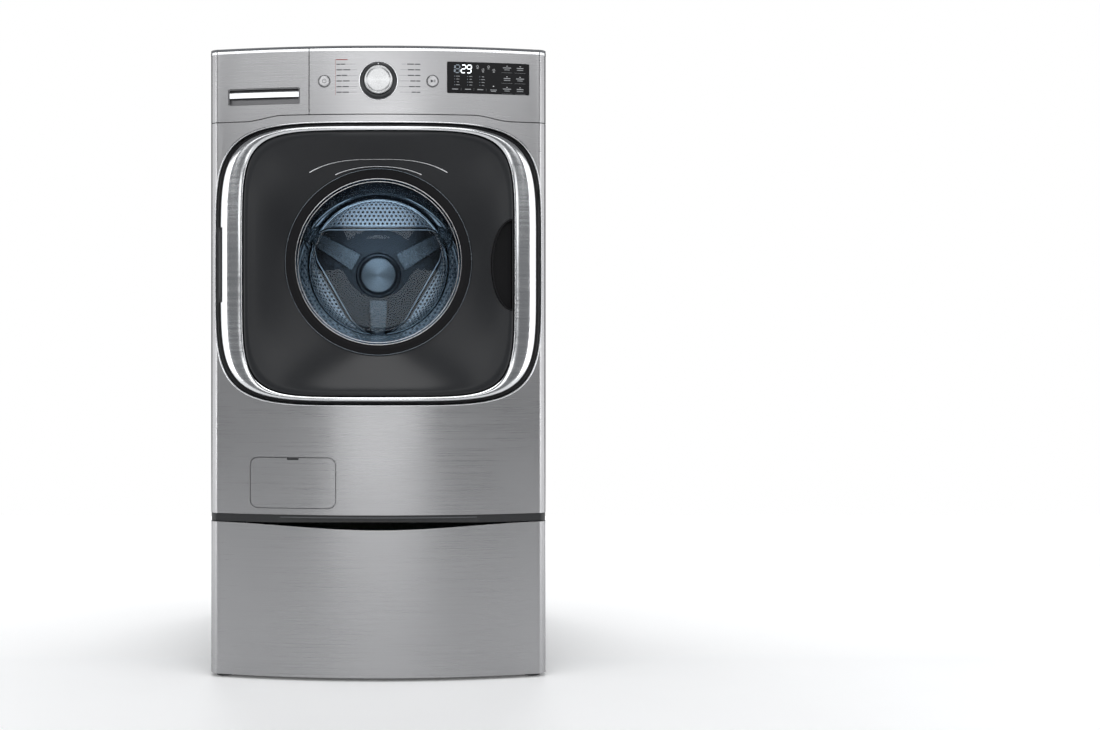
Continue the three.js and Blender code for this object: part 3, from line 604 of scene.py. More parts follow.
def add_hatch():
    plate = front_sheet("service_hatch_plate", lambda x: 0.36, lambda x: 0.50)
    cut(plate, rounded_bar("hatch_outline", -0.1855, 0.4275, 0.1854, 0.1084, 0.017, -0.42, -0.33),
        operation="INTERSECT")
    cut(plate, rounded_bar("notch", -0.1855, 0.4815, 0.026, 0.0095, 0.003, -0.42, -0.33))
    bevelled(plate, 0.0006, 3)
    face = front_y(-0.1855)
    tab = block("hatch_tongue", -0.1955, -0.1755, face + 0.0015, face + 0.009, 0.4600, 0.4710, 0.0008)
    recess = rounded_bar("hatch_notch_cup", -0.1855, 0.4800, 0.0250, 0.0100, 0.003, face + 0.0022, face + 0.0040)
    set_in(joined("service_hatch_plate", [plate, tab]), "hatch", STEEL, "brushed_front", "service_hatch", crease=True)
    set_in(recess, "hatch", BLACK, "dark_plastic")


def add_collar():
    collar = dressed_copy("pedestal_collar", "plinth_collar", 0.0008, 2)
    edit(collar)
    bpy.ops.mesh.select_all(action="SELECT")
    bpy.ops.transform.resize(value=(1.0140, 1, 1), center_override=(0, 0, 0))
    bpy.ops.object.mode_set(mode="OBJECT")
    set_in(collar, "cabinet", BLACK, "dark_plastic", "pedestal_collar")
    strip = block("collar_trim", -0.214, 0.214, -0.0007, 0.0007, 0.3515, 0.3532)
    edit(strip)
    bpy.ops.mesh.select_all(action="SELECT")
    bpy.ops.mesh.bisect(plane_co=(0, 0, 0), plane_no=(1, 0, 0))
    bpy.ops.mesh.select_all(action="SELECT")
    bpy.ops.mesh.subdivide(number_cuts=12)
    bpy.ops.object.mode_set(mode="OBJECT")
    laid_on_front(strip, lambda x: front_y(x) + 0.0062)
    set_in(strip, "cabinet", GRAPHITE, "dark_plastic")


# ---------- pedestal ----------
def drawer_top(x):
    return 0.340 - 0.014 * math.cos(math.pi / 2 * x / 0.3695) ** 2


def add_pedestal():
    front = front_sheet("drawer_face", lambda x: 0.007, drawer_top)
    bevelled(front, 0.0008, 3)
    set_in(front, "drawer", STEEL, "brushed_front", crease=True)
    hem = front_sheet("drawer_top_hem", lambda x: drawer_top(x) - 0.0022, lambda x: drawer_top(x) - 0.0012,
                      inset=0.002, thick=0.012)
    set_in(hem, "drawer", BLACK, "dark_plastic")
    back = block("drawer_back_plate", -0.340, 0.340, -0.332, -0.3306, 0.040, 0.318, 0.0005)
    ribs = [block("rib", x - 0.002, x + 0.002, front_y(x) + 0.0024, -0.3315, 0.060, 0.300) for x in (-0.30, 0, 0.30)]
    set_in(joined("drawer_front_frame", [back, *ribs]), "drawer", ZINC, "galvanised", "pedestal_drawer_front")
    tray = dressed_copy("pedestal_drawer_box", "drawer_tray", 0.0004, 2)
    set_in(tray, "drawer", ZINC, "galvanised", "pedestal_drawer_box")
    cabinet = dressed_copy("pedestal_cabinet", "plinth_cabinet", 0.0005, 2)
    set_in(cabinet, "cabinet", GRAPHITE, "cabinet_paint", "pedestal_cabinet")


def add_feet():
    for end, y in (("front", -0.318), ("back", 0.350)):
        for side, x in (("left", -0.338), ("right", 0.338)):
            bpy.ops.object.select_all(action="DESELECT")
            bpy.ops.mesh.primitive_cylinder_add(vertices=48, radius=0.019, depth=0.007, location=(x, y, 0.0035))
            pad = placed("pad")
            edit(pad)
            pick(pad, "faces", lambda f: f.normal.z > 0.9)
            bpy.ops.mesh.inset(thickness=0.004)
            bpy.ops.transform.translate(value=(0, 0, 0.002))
            bpy.ops.object.mode_set(mode="OBJECT")
            bevelled(pad, 0.001, 3, 20)
            bpy.ops.object.select_all(action="DESELECT")
            bpy.ops.mesh.primitive_cylinder_add(vertices=6, radius=0.0095, depth=0.005, location=(x, y, 0.0115))
            nut = bevelled(placed("nut"), 0.0005, 2)
            bpy.ops.object.select_all(action="DESELECT")
            bpy.ops.mesh.primitive_cylinder_add(vertices=24, radius=0.006, depth=0.013, location=(x, y, 0.0150))
            stem = placed("stem")
            foot = joined(f"levelling_foot_{end}_{side}", [pad, nut, stem])
            set_in(foot, "cabinet", BLACK, "dark_plastic", f"foot_{end}_{side}")


# ---------- door ----------
def hinge_room():
    """The notch in the door's left edge that clears the hinge."""
    return block("hinge_room", -0.360, -0.320, -0.3524, -0.330, DOOR_Z - 0.082, DOOR_Z + 0.082)


def add_door_ring():
    steps = [(0.00, -0.338), (0.00, 0.0150)]
    for k in range(25):
        u = k / 24
        bulge = abs(2 * u - 0.92) / (1.08 if u > 0.46 else 0.92)
        steps.append((0.002 + 0.996 * u, 0.0004 + 0.0052 * bulge ** 2.4 + 0.0040 * bulge ** 14))
    steps += [(1.00, 0.0135), (1.00, -0.338)]
    rows = []
    for u, drop in steps:
        depth = drop if drop < -0.1 else (lambda x, d=drop: door_y(x) + d)
        rows.append((0.3465 - 0.0525 * u, 0.2965 - 0.0115 * u, 5 + 0.8 * u, DOOR_Z, depth))
    ring = hoop("door_ring_bezel", rows, 256)
    cut(ring, hinge_room())
    set_in(ring, "door", CHROME, "bezel", "door_ring", angle=40)
    # A near-black strip just behind the ring's outer edge: painted shade in the gap between the door and the front
    # panel.
    edge = []
    for a, d in ((0.3503, 0.0170), (0.3503, 0.0102), (0.3495, 0.0090), (0.3470, 0.0078), (0.3456, 0.0082),
                 (0.3456, 0.0170)):
        edge.append((a, a - 0.050, 5, DOOR_Z, lambda x, d=d: door_y(x) + d))
    set_in(cut(hoop("door_edge_strip", edge, 256), hinge_room()), "door", SHADOW, "dark_plastic", angle=50)


def half_oval(name, less, front, back):
    made = plug(name, 0.047 - less, 0.100 - less, 2.0, 0.900, front, back, cx=0.292, count=96)
    return cut(made, block("right_half", 0.2915, 0.40, -0.45, -0.30, 0.7, 1.1))


def dish_row(u, lift=0.0):
    """One outline of the dish's slope: 0 at its rim, 1 at the window, raised off the surface by lift."""
    deep = u ** 1.25 * 0.82 + 0.18 * (1 - (1 - u) ** 3)
    return (0.2795 + (0.2040 - 0.2795) * u, 0.2705 + (0.2040 - 0.2705) * u, 5.2 + (2 - 5.2) * u ** 0.8,
            DOOR_Z + (AXIS_Z - DOOR_Z) * u,
            lambda x: (door_y(x) + 0.0058) * (1 - deep) - 0.3412 * deep - lift)


def add_dish_highlight_arcs():
    """Two thin chrome beads over the upper part of the window: a painted highlight standing in for the bright arcs on
    the window's edges.
    """
    for name, u, reach in (("dish_arc_outer", 0.69, 0.150), ("dish_arc_inner", 0.925, 0.094)):
        bead = hoop(name, [dish_row(u, -0.0010), dish_row(u, 0.0004), dish_row(u + 0.005, 0.0007),
                           dish_row(u + 0.012, 0.0004), dish_row(u + 0.012, -0.0010)], 256)
        cut(bead, block("arc_span", -reach, reach, -0.45, -0.30, AXIS_Z + 0.05, 1.25), operation="INTERSECT")
        set_in(bead, "door", CHROME, "bezel", angle=50)


def add_door_dish():
    rows = [(0.2934, 0.2844, 5.8, DOOR_Z, -0.338)]
    for a, b, n, drop in ((0.2934, 0.2844, 5.8, 0.0060), (0.2928, 0.2838, 5.8, 0.0042), (0.2915, 0.2825, 5.7, 0.0034),
                          (0.2885, 0.2795, 5.5, 0.0032), (0.2845, 0.2755, 5.4, 0.0036), (0.2815, 0.2725, 5.3, 0.0046)):
        rows.append((a, b, n, DOOR_Z, lambda x, d=drop: door_y(x) + d))
    rows += [dish_row(k / 18) for k in range(1, 19)]
    rows += [(0.2030, 0.2030, 2, AXIS_Z, -0.3405), (0.2030, 0.2030, 2, AXIS_Z, -0.338)]
    dish = hoop("door_dish", rows, 256)
    cut(dish, half_oval("handle_hole", 0.0, -0.43, -0.3430))
    set_in(dish, "door", DISH, "gloss_black", "door_cover", angle=40)
    cup = half_oval("handle_cup", 0.0006, -0.43, -0.3435)
    for v in cup.data.vertices:
        if v.co.y < -0.42:
            v.co.y = door_y(v.co.x) + 0.0045
    hollow = half_oval("cup_hollow", 0.0036, -0.43, -0.3465)
    cut(cup, hollow)
    bevelled(cup, 0.0010, 3)
    # The handle's cup is near-black: painted shade in the recess.
    set_in(cup, "door", SHADOW, "dark_plastic", "door_handle_cup")
    rim = spun("window_trim", rounded([(0.2032, -0.3425), (0.2046, -0.3425), (0.2046, -0.3385), (0.2032, -0.3385)],
                                      0.0006, 4), steps=160)
    # The trim ring takes the dark copy of the drum steel: painted shade.
    set_in(rim, "door", DRUM_STEEL_IN_SHADE, "bezel", angle=50)
    border = spun("window_border", rounded([(0.1805, -0.3446), (0.1900, -0.3462), (0.2026, -0.3450), (0.2026, -0.3442),
                                            (0.1805, -0.3442)], 0.0008, 3), steps=160)
    set_in(border, "door", SHADOW, "gloss_black", angle=50)
    for n, (r, y) in enumerate(((0.1812, -0.3449), (0.1765, -0.3330))):
        line = spun(f"window_line_{n + 1}",
                    rounded([(r, y), (r + 0.0010, y), (r + 0.0010, y - 0.0006), (r, y - 0.0006)], 0.0003, 2),
                    steps=160)
        set_in(line, "door", CHROME, "bezel", angle=50)


def add_door_glass():
    bowl = spun("door_bowl", rounded([(0, -0.1990), (0.080, -0.2000), (0.150, -0.2070), (0.165, -0.2220),
                                      (0.1845, -0.3310), (0.1856, -0.3386), (0.2010, -0.3386), (0.2010, -0.3440),
                                      (0.1820, -0.3440), (0.1800, -0.3330), (0.1600, -0.2250), (0.1480, -0.2120),
                                      (0.080, -0.2050), (0, -0.2040)], 0.010, 6), steps=144)
    set_in(bowl, "door", GLASS, "window_glass", "door_glass_bowl", angle=50)
    frame_plate = dressed_copy("door_frame", "door_inner_frame", 0.0006, 2)
    set_in(frame_plate, "door", BLACK, "dark_plastic", "door_frame")


# ---------- controls ----------
def add_control_panel():
    panel = front_sheet("control_fascia", lambda x: seam_z(x) + 0.0009, lambda x: 1.3669)
    cut(panel, block("left_part", -0.40, -0.1492, -0.45, -0.28, 1.10, 1.45),
        rounded_bar("display_hole", 0.239, 1.305, 0.1812, 0.0682, 0.0026, -0.42, -0.33),
        rod("dial_hole", 0.007, 0, CONTROL_Z, -0.42, -0.33),
        rod("power_hole", 0.0123, -0.117, CONTROL_Z, -0.42, -0.33),
        rod("start_hole", 0.0123, 0.117, CONTROL_Z, -0.42, -0.33))
    bevelled(panel, 0.0006, 3)
    set_in(panel, "cabinet", STEEL, "brushed_front", "control_panel", crease=True)
    front = front_sheet("dispenser_fascia", lambda x: seam_z(x) + 0.0009, lambda x: 1.3669)
    cut(front, block("right_part", -0.1508, 0.40, -0.45, -0.28, 1.10, 1.45),
        rounded_bar("pull_hole", -0.249, 1.266, 0.158, 0.036, 0.004, -0.42, -0.33))
    bevelled(front, 0.0006, 3)
    set_in(front, "dispenser", STEEL, "brushed_front", "dispenser_front", crease=True)
    # Chrome strips along the top edge of the fascia and the dispenser: a painted highlight for the reflection on the
    # panels' rounded top edge.
    for name, body, x0, x1 in (("fascia_top_trim", "cabinet", -0.1492, 0.40),
                               ("dispenser_top_trim", "dispenser", -0.40, -0.1508)):
        trim = front_sheet(name, lambda x: 1.3608, lambda x: 1.3667, inset=-0.0005, thick=0.0012)
        cut(trim, block("span", x0, x1, -0.45, -0.3225, 1.30, 1.45), operation="INTERSECT")
        bevelled(trim, 0.0005, 2)
        for v in trim.data.vertices:
            v.co.x = max(-HALF, min(HALF, v.co.x))
        set_in(trim, body, CHROME, "bezel", crease=True)


def add_dispenser():
    cup = front_sheet("pull_cup", lambda x: 1.20, lambda x: 1.34, inset=0.001, thick=0.016)
    cut(cup, rounded_bar("cup_outline", -0.249, 1.266, 0.1568, 0.0348, 0.004, -0.42, -0.329), operation="INTERSECT")
    hollow = rounded_bar("cup_hollow", -0.249, 1.266, 0.1530, 0.0310, 0.003, -0.43, -0.33)
    for v in hollow.data.vertices:
        if v.co.y > -0.40:
            v.co.y = front_y(v.co.x) + 0.0125
    cut(cup, hollow)
    # The cup takes the darker steel copy: painted shade in the pull's recess.
    set_in(bevelled(cup, 0.0006, 2), "dispenser", SHADED_STEEL, "bezel", "dispenser_pull")
    bar = front_sheet("pull_bar", lambda x: 1.2640, lambda x: 1.2750, inset=0.0022, thick=0.0052)
    cut(bar, block("bar_span", -0.3262, -0.1718, -0.42, -0.30, 1.20, 1.35), operation="INTERSECT")
    set_in(bevelled(bar, 0.0016, 4), "dispenser", CHROME, "bezel")
    tray = dressed_copy("dispenser_tray", "detergent_tray", 0.0010, 3)
    set_in(tray, "dispenser", WHITE, "pale_plastic", "dispenser_tray")
    housing = dressed_copy("dispenser_housing", "tray_housing", 0.0008, 2)
    set_in(housing, "cabinet", WHITE, "pale_plastic", "dispenser_housing")


def add_dial():
    knob = spun("selector_knob", rounded([(0, -0.339), (0.005, -0.339), (0.005, -0.3838), (0.0375, -0.3838),
                                          (0.0400, -0.3860), (0.0400, -0.3910), (0.0362, -0.3958), (0.0318, -0.3958),
                                          (0.0314, -0.3900), (0, -0.3900)], 0.0012, 4), z=CONTROL_Z, steps=160)
    set_in(knob, "dial", BLACK, "dark_plastic", "dial_knob", angle=40)
    cap = spun("selector_cap", rounded([(0, -0.3905), (0.0309, -0.3905), (0.0309, -0.3975), (0.0296, -0.3996),
                                        (0.0270, -0.3998), (0.0235, -0.3988), (0, -0.3984)], 0.0008, 4),
               z=CONTROL_Z, steps=160)
    set_in(cap, "dial", turned_metal("spun_cap", (0.44, 0.445, 0.45), 0.26, 0, CONTROL_Z), "bezel", "dial_cap",
           angle=30)
    mark = rod("selector_mark", 0.0013, 0, CONTROL_Z + 0.0345, -0.3962, -0.3955, 0.0002, 24)
    set_in(mark, "dial", PRINT, "dark_plastic")
    collar = spun("selector_ring", rounded([(0.0402, -0.3836), (0.0420, -0.3836), (0.0420, -0.3820), (0.0402, -0.3820)],
                                           0.0005, 3), z=CONTROL_Z, steps=128)
    set_in(collar, "cabinet", CHROME, "bezel", angle=50)


def add_buttons():
    for name, node, body, x in (("power_push", "power_button", "power_key", -0.117),
                                ("start_push", "start_button", "start_key", 0.117)):
        face = front_y(x)
        key = spun(name, rounded([(0, -0.342), (0.004, -0.342), (0.004, face + 0.007), (0.0115, face + 0.007),
                                  (0.0115, face - 0.0014), (0.0104, face - 0.0020), (0.0085, face - 0.0018),
                                  (0, face - 0.0016)], 0.0005, 3), x=x, z=CONTROL_Z, steps=96)
        set_in(key, body, STEEL, "brushed_front", node, angle=40)
        ring = spun(name + "_ring", rounded([(0.0121, 0.0008), (0.0121, -0.0008), (0.0137, -0.0008), (0.0137, 0.0008)],
                                            0.0004, 3), x=x, z=CONTROL_Z, steps=96)
        # The ring round each key takes the darker steel copy: painted shade in the gap round the key.
        set_in(laid_on_front(ring), "cabinet", SHADED_STEEL, "bezel", angle=50)


def mark(name, cx, cz, w, h, proud=0.0001, thick=0.0003, base=front_y):
    """A small printed bar on the bowed face, or on another face whose depth base gives."""
    made = block(name, cx - w / 2, cx + w / 2, -proud, thick, cz - h / 2, cz + h / 2)
    if w > 0.02:
        edit(made, "EDGE")
        pick(made, "edges", lambda e: abs(e.verts[0].co.x - e.verts[1].co.x) > w * 0.5)
        bpy.ops.mesh.subdivide(number_cuts=max(1, int(w / 0.02)))
        bpy.ops.object.mode_set(mode="OBJECT")
    return laid_on_front(made, base)


def ring_mark(name, x, z, r, width, gap=0.0, base=front_y):
    """A printed ring, or a ring with a gap at its top for a power sign."""
    made = spun(name, [(r, -0.0001), (r + width, -0.0001), (r + width, 0.0003), (r, 0.0003)], x=x, z=z, steps=48)
    if gap:
        cut(made, block("gap", x - gap / 2, x + gap / 2, -0.01, 0.01, z, z + 2 * r))
    return laid_on_front(made, base)


def segment_digit(x, z, h, on, slope=0.08):
    """Bars of a seven-segment digit whose centre is at (x, z)."""
    w, t = h * 0.56, h * 0.115
    places = {"a": (0, h / 2, 1), "g": (0, 0, 1), "d": (0, -h / 2, 1), "f": (-w / 2, h / 4, 0), "b": (w / 2, h / 4, 0),
              "e": (-w / 2, -h / 4, 0), "c": (w / 2, -h / 4, 0)}
    parts = []
    for key in on:
        dx, dz, flat = places[key]
        wide, tall = (w - t * 1.25, t) if flat else (t, h / 2 - t * 1.25)
        bar = mark("bar", x + dx, z + dz, wide, tall)
        for v in bar.data.vertices:
            v.co.x += (v.co.z - z) * slope
        parts.append(bar)
    return parts


def add_display():
    glass = front_sheet("display_pane", lambda x: 1.20, lambda x: 1.36, thick=0.0022)
    cut(glass, rounded_bar("pane", 0.239, 1.305, 0.180, 0.067, 0.002, -0.42, -0.33), operation="INTERSECT")
    bevelled(glass, 0.0005, 3)
    set_in(glass, "cabinet", PANE, "gloss_black", "display_glass", angle=40)
    digits = segment_digit(0.1842, 1.3240, 0.0165, "abged") + segment_digit(0.1966, 1.3240, 0.0165, "abcdfg")
    set_in(joined("minutes_digits", digits), "cabinet", LIT_WHITE, "gloss_black")
    dim = segment_digit(0.1600, 1.3240, 0.0165, "bc") + segment_digit(0.1710, 1.3240, 0.0165, "abcdefg")
    dim += [mark("colon", 0.1775, 1.3240 + s * 0.0038, 0.0012, 0.0012) for s in (-1, 1)]
    set_in(joined("hours_digits", dim), "cabinet", LIT_DIM, "gloss_black")
    icons, words, lamps = [], [], []
    for i in range(4):
        x = 0.2150 + 0.0120 * i
        icons.append(ring_mark("icon", x, 1.3300 - 0.0070 * (i % 2), 0.0020, 0.0005))
        icons.append(mark("icon_foot", x, 1.3255 - 0.0070 * (i % 2), 0.0042, 0.0006))
    for i, x in enumerate((0.1650, 0.1930, 0.2200)):
        lamps += [mark("lamp", x, 1.3080 - 0.0062 * k, 0.0013, 0.0013) for k in range(4)]
        words += [mark("word", x + 0.0070, 1.3080 - 0.0062 * k, 0.0080 - 0.0016 * ((k + i) % 3), 0.0011)
                  for k in range(4)]
        words.append(mark("heading", x + 0.0010, 1.2800, 0.0130, 0.0018))
        words.append(mark("rule", x + 0.0140, 1.2800, 0.0003, 0.0050))
    words += [mark("heading", 0.2500, 1.2800 - 0.0030 * k, 0.0150 - 0.0040 * k, 0.0014) for k in (0, 1)]
    icons.append(mark("lamp_bar", 0.2500, 1.2880, 0.0026, 0.0016))
    for i, x in enumerate((0.2800, 0.3090)):
        for k, z in enumerate((1.3290, 1.3060, 1.2830)):
            icons.append(mark("lamp_bar", x, z + 0.0038, 0.0030, 0.0009))
            words.append(mark("heading", x, z, 0.0180 - 0.0030 * ((i + k) % 2), 0.0017))
            words.append(mark("word", x, z - 0.0042, 0.0120 + 0.0020 * ((i + k) % 2), 0.0013))
            words.append(mark("rule", x, z - 0.0105, 0.0240, 0.0003))
    set_in(joined("display_icons", icons), "cabinet", PRINT, "gloss_black")
    set_in(joined("display_words", words), "cabinet", paint("grey_print", (0.30, 0.31, 0.32), 0.5, 0.01, 900),
           "gloss_black")
    set_in(joined("display_lamps", lamps), "cabinet", LIT_DIM, "gloss_black")


def add_programme_marks():
    """Bars stand for the programme names on both sides of the dial, with a fine line from each to the dial."""
    dark, red = [], []
    for side in (-1, 1):
        for row in range(6):
            z = 1.3322 - 0.0121 * row
            width = (0.0190, 0.0285, 0.0215, 0.0300, 0.0270, 0.0245, 0.0235, 0.0270)[(row * 3 + (side > 0)) % 8]
            outer = 0.0905
            for k, share in enumerate((0.42, 0.52)):
                start = outer - width * (0.0 if k == 0 else 0.48)
                dark.append(mark("name", side * (start - width * share / 2), z, width * share, 0.0021))
            inner, end = 0.0440 + 0.0006 * abs(row - 3) ** 2, outer - width - 0.0022
            if end - inner > 0.003:
                dark.append(mark("leader", side * (inner + end) / 2, z, end - inner, 0.0004))
    red += [mark("heading", -0.0790, 1.3420, 0.0250, 0.0020), mark("margin", -0.0928, 1.3050, 0.0006, 0.0780)]
    set_in(joined("programme_marks", dark), "cabinet", DARK_PRINT, "dark_plastic")
    set_in(joined("programme_heading", red), "cabinet", RED_PRINT, "dark_plastic")

    def at_key(x):
        return front_y(0.117) - 0.0019

    power, go = -0.117, 0.117
    sign = [ring_mark("power_ring", power, CONTROL_Z, 0.0036, 0.0009, 0.0028, base=at_key),
            mark("power_bar", power, CONTROL_Z + 0.0032, 0.0009, 0.0040, base=at_key)]
    set_in(joined("power_sign", sign), "power_key", DARK_PRINT, "dark_plastic")
    bpy.ops.object.select_all(action="DESELECT")
    bpy.ops.mesh.primitive_cylinder_add(vertices=3, radius=0.0042, depth=0.0004)
    arrow = placed("arrow")
    points = [(v.co.x, v.co.y, v.co.z) for v in arrow.data.vertices]
    for v, (a, b, c) in zip(arrow.data.vertices, points):
        v.co = (go - 0.0020 + b, c, CONTROL_Z + a)
    outward(laid_on_front(arrow, at_key))
    bars = [mark("pause", go + dx, CONTROL_Z, 0.0010, 0.0064, base=at_key) for dx in (0.0034, 0.0054)]
    set_in(joined("start_sign", [arrow, *bars]), "start_key", DARK_PRINT, "dark_plastic")


# ---------- wash unit ----------
def holed_steel():
    """Drum steel with its rows of punched holes, sunk, on the wall and in two zones of the back. Its light and shade
    are painted: the holes dark, the wall darker and the back dark save for its pressed pockets, whose rims carry a
    painted highlight.
    """
    made, nodes, links, shader = finish_base("perforated_drum_steel", (0.70, 0.74, 0.79), 0.24, 1.0)
    where = place_on_object(nodes, links, (1, 1, 1), (0, 0, -AXIS_Z))

    def sum_of(operation, a, b=None):
        node = nodes.new("ShaderNodeMath")
        node.operation = operation
        for socket, value in zip(node.inputs, (a, b)):
            if isinstance(value, (int, float)):
                socket.default_value = value
            elif value is not None:
                links.new(value, socket)
        return node.outputs[0]

    split = nodes.new("ShaderNodeSeparateXYZ")
    links.new(where, split.inputs[0])
    x, y, z = split.outputs
    round_wall = sum_of("MULTIPLY", sum_of("ARCTAN2", x, z), 0.288)
    is_back = sum_of("GREATER_THAN", y, 0.2365)
    is_wall = sum_of("SUBTRACT", 1, is_back)
    u = sum_of("ADD", sum_of("MULTIPLY", x, is_back), sum_of("MULTIPLY", round_wall, is_wall))
    v = sum_of("ADD", sum_of("MULTIPLY", z, is_back), sum_of("MULTIPLY", y, is_wall))
    pitch = 0.0118
    row = sum_of("FLOOR", sum_of("DIVIDE", v, pitch * 0.866))
    across = sum_of("SUBTRACT", sum_of("FRACT", sum_of("ADD", sum_of("DIVIDE", u, pitch),
                                                       sum_of("MULTIPLY", row, 0.5))), 0.5)
    along = sum_of("SUBTRACT", sum_of("FRACT", sum_of("DIVIDE", v, pitch * 0.866)), 0.5)
    off = sum_of("SQRT", sum_of("ADD", sum_of("POWER", sum_of("MULTIPLY", across, pitch), 2),
                                sum_of("POWER", sum_of("MULTIPLY", along, pitch * 0.866), 2)))
    radius = sum_of("SQRT", sum_of("ADD", sum_of("POWER", x, 2), sum_of("POWER", z, 2)))
    slant = sum_of("SUBTRACT", sum_of("MULTIPLY", sum_of("ABSOLUTE", x), 0.866), sum_of("MULTIPLY", z, 0.5))
    chord = sum_of("MAXIMUM", z, slant)
    inside = sum_of("MINIMUM", sum_of("SUBTRACT", chord, 0.124), sum_of("SUBTRACT", 0.214, radius))
    pocket = spread(nodes, links, inside, 0.0, 1.0, 0.0, 0.007)
    rim = spread(nodes, links, sum_of("ABSOLUTE", sum_of("ADD", inside, 0.002)), 1.0, 0.0, 0.0, 0.0030)
    on_wall = sum_of("MULTIPLY", is_wall, sum_of("LESS_THAN", sum_of("ABSOLUTE", y), 0.222))
    allowed = sum_of("ADD", on_wall, sum_of("MULTIPLY", is_back, sum_of("GREATER_THAN", inside, 0.009)))
    hole = sum_of("MULTIPLY", sum_of("LESS_THAN", off, 0.0026), allowed)
    # Painted light and shade: the wall is painted at 0.42, the back dark outside its pressed pockets, the pockets
    # bright and their rims given a painted highlight.
    bright = sum_of("MAXIMUM", sum_of("MULTIPLY", is_wall, 0.42), sum_of("MULTIPLY", is_back, pocket))
    bright = sum_of("MAXIMUM", bright, sum_of("MULTIPLY", rim, is_back))
    shade = sum_of("MULTIPLY", bright, sum_of("SUBTRACT", 1, hole))
    # Dark end: painted shade, also in the holes; light end: the steel's own tone.
    tint(nodes, links, shade, (0.050, 0.058, 0.068), (0.66, 0.73, 0.80), shader)
    links.new(sum_of("ADD", 0.22, sum_of("MULTIPLY", hole, 0.5)), shader.inputs["Roughness"])
    edge = spread(nodes, links, off, 0.0, 1.0, 0.0020, 0.0036)
    punched = sum_of("MAXIMUM", edge, sum_of("SUBTRACT", 1, allowed))
    raised = sum_of("ADD", punched, sum_of("MULTIPLY", sum_of("ADD", rim, sum_of("MULTIPLY", pocket, -2)), is_back))
    emboss(nodes, links, raised, shader, 0.7, 0.0008)
    return made


def add_drum():
    shell = spun("drum_shell", rounded([(0.2050, -0.2660), (0.2120, -0.2660), (0.2880, -0.2430), (0.2880, 0.2400),
                                        (0.0600, 0.2400), (0.0600, 0.2385), (0.2690, 0.2385), (0.2735, 0.2350),
                                        (0.2800, 0.2350), (0.2865, 0.2300), (0.2865, 0.1600), (0.2840, 0.1570),
                                        (0.2840, 0.1490), (0.2865, 0.1460), (0.2865, -0.1460), (0.2840, -0.1490),
                                        (0.2840, -0.1570), (0.2865, -0.1600), (0.2865, -0.2415), (0.2110, -0.2640),
                                        (0.2050, -0.2640)], 0.0030, 4), steps=144)
    set_in(shell, "drum_unit", holed_steel(), "drum_steel", "drum", angle=40)
    hub = spun("drum_hub_cap", rounded([(0, 0.2262), (0.024, 0.2265), (0.046, 0.2278), (0.0525, 0.2340),
                                        (0.0560, 0.2345), (0.0600, 0.2385), (0.0600, 0.2400), (0, 0.2400)], 0.003, 5),
               steps=96)
    set_in(hub, "drum_unit", turned_metal("hub_metal", (0.30, 0.34, 0.38), 0.30, 0, AXIS_Z), "drum_steel", angle=60)
    # The back's ribs and the lifters take the dark copy of the drum steel: painted shade inside the drum.
    ribs = []
    for i in range(3):
        rib = block("press_rib", -0.026, 0.026, 0.2335, 0.2392, 0.066, 0.268)
        edit(rib)
        pick(rib, "faces", lambda f: f.normal.z > 0.9)
        bpy.ops.transform.resize(value=(0.62, 1, 1))
        bpy.ops.object.mode_set(mode="OBJECT")
        bevelled(rib, 0.0045, 5)
        only(rib)
        bpy.ops.transform.rotate(value=math.radians(60 + 120 * i), orient_axis="Y", center_override=(0, 0, 0))
        bpy.ops.transform.translate(value=(0, 0, AXIS_Z))
        bpy.ops.object.transform_apply(location=True, rotation=True, scale=True)
        ribs.append(rib)
    set_in(joined("drum_back_ribs", ribs), "drum_unit", DRUM_STEEL_IN_SHADE, "drum_steel", angle=50)
    for i in range(3):
        lifter = dressed_copy(f"drum_lifter_{i + 1}", f"lifter_vane_{i + 1}", 0.0035, 4, 20)
        set_in(lifter, "drum_unit", DRUM_STEEL_IN_SHADE, "drum_steel", f"drum_lifter_{i + 1}", angle=50)
    set_in(dressed_copy("drum_spider", "drum_arms", 0.0015, 2), "drum_unit", ZINC, "galvanised", "drum_spider")
    set_in(dressed_copy("motor_rotor", "rotor_cup", 0.0012, 2), "drum_unit", MACHINED, "drum_steel", "motor_rotor")


def add_gasket():
    bellows = spun("door_bellows", rounded([(0.1865, -0.3320), (0.2080, -0.3320), (0.2080, -0.3230), (0.2110, -0.3180),
                                            (0.2080, -0.3120), (0.2080, -0.3000), (0.2220, -0.2960), (0.2220, -0.2680),
                                            (0.2190, -0.2680), (0.2190, -0.2930), (0.2050, -0.2975), (0.2050, -0.3110),
                                            (0.2075, -0.3175), (0.2050, -0.3240), (0.2050, -0.3290), (0.1960, -0.3290),
                                            (0.1930, -0.3270), (0.1900, -0.3290), (0.1865, -0.3290)], 0.0014, 4),
                   steps=128)
    smooth(bellows, 60)
    bellows.data.materials.append(RUBBER)
    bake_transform(bellows)
    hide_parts("door_gasket")


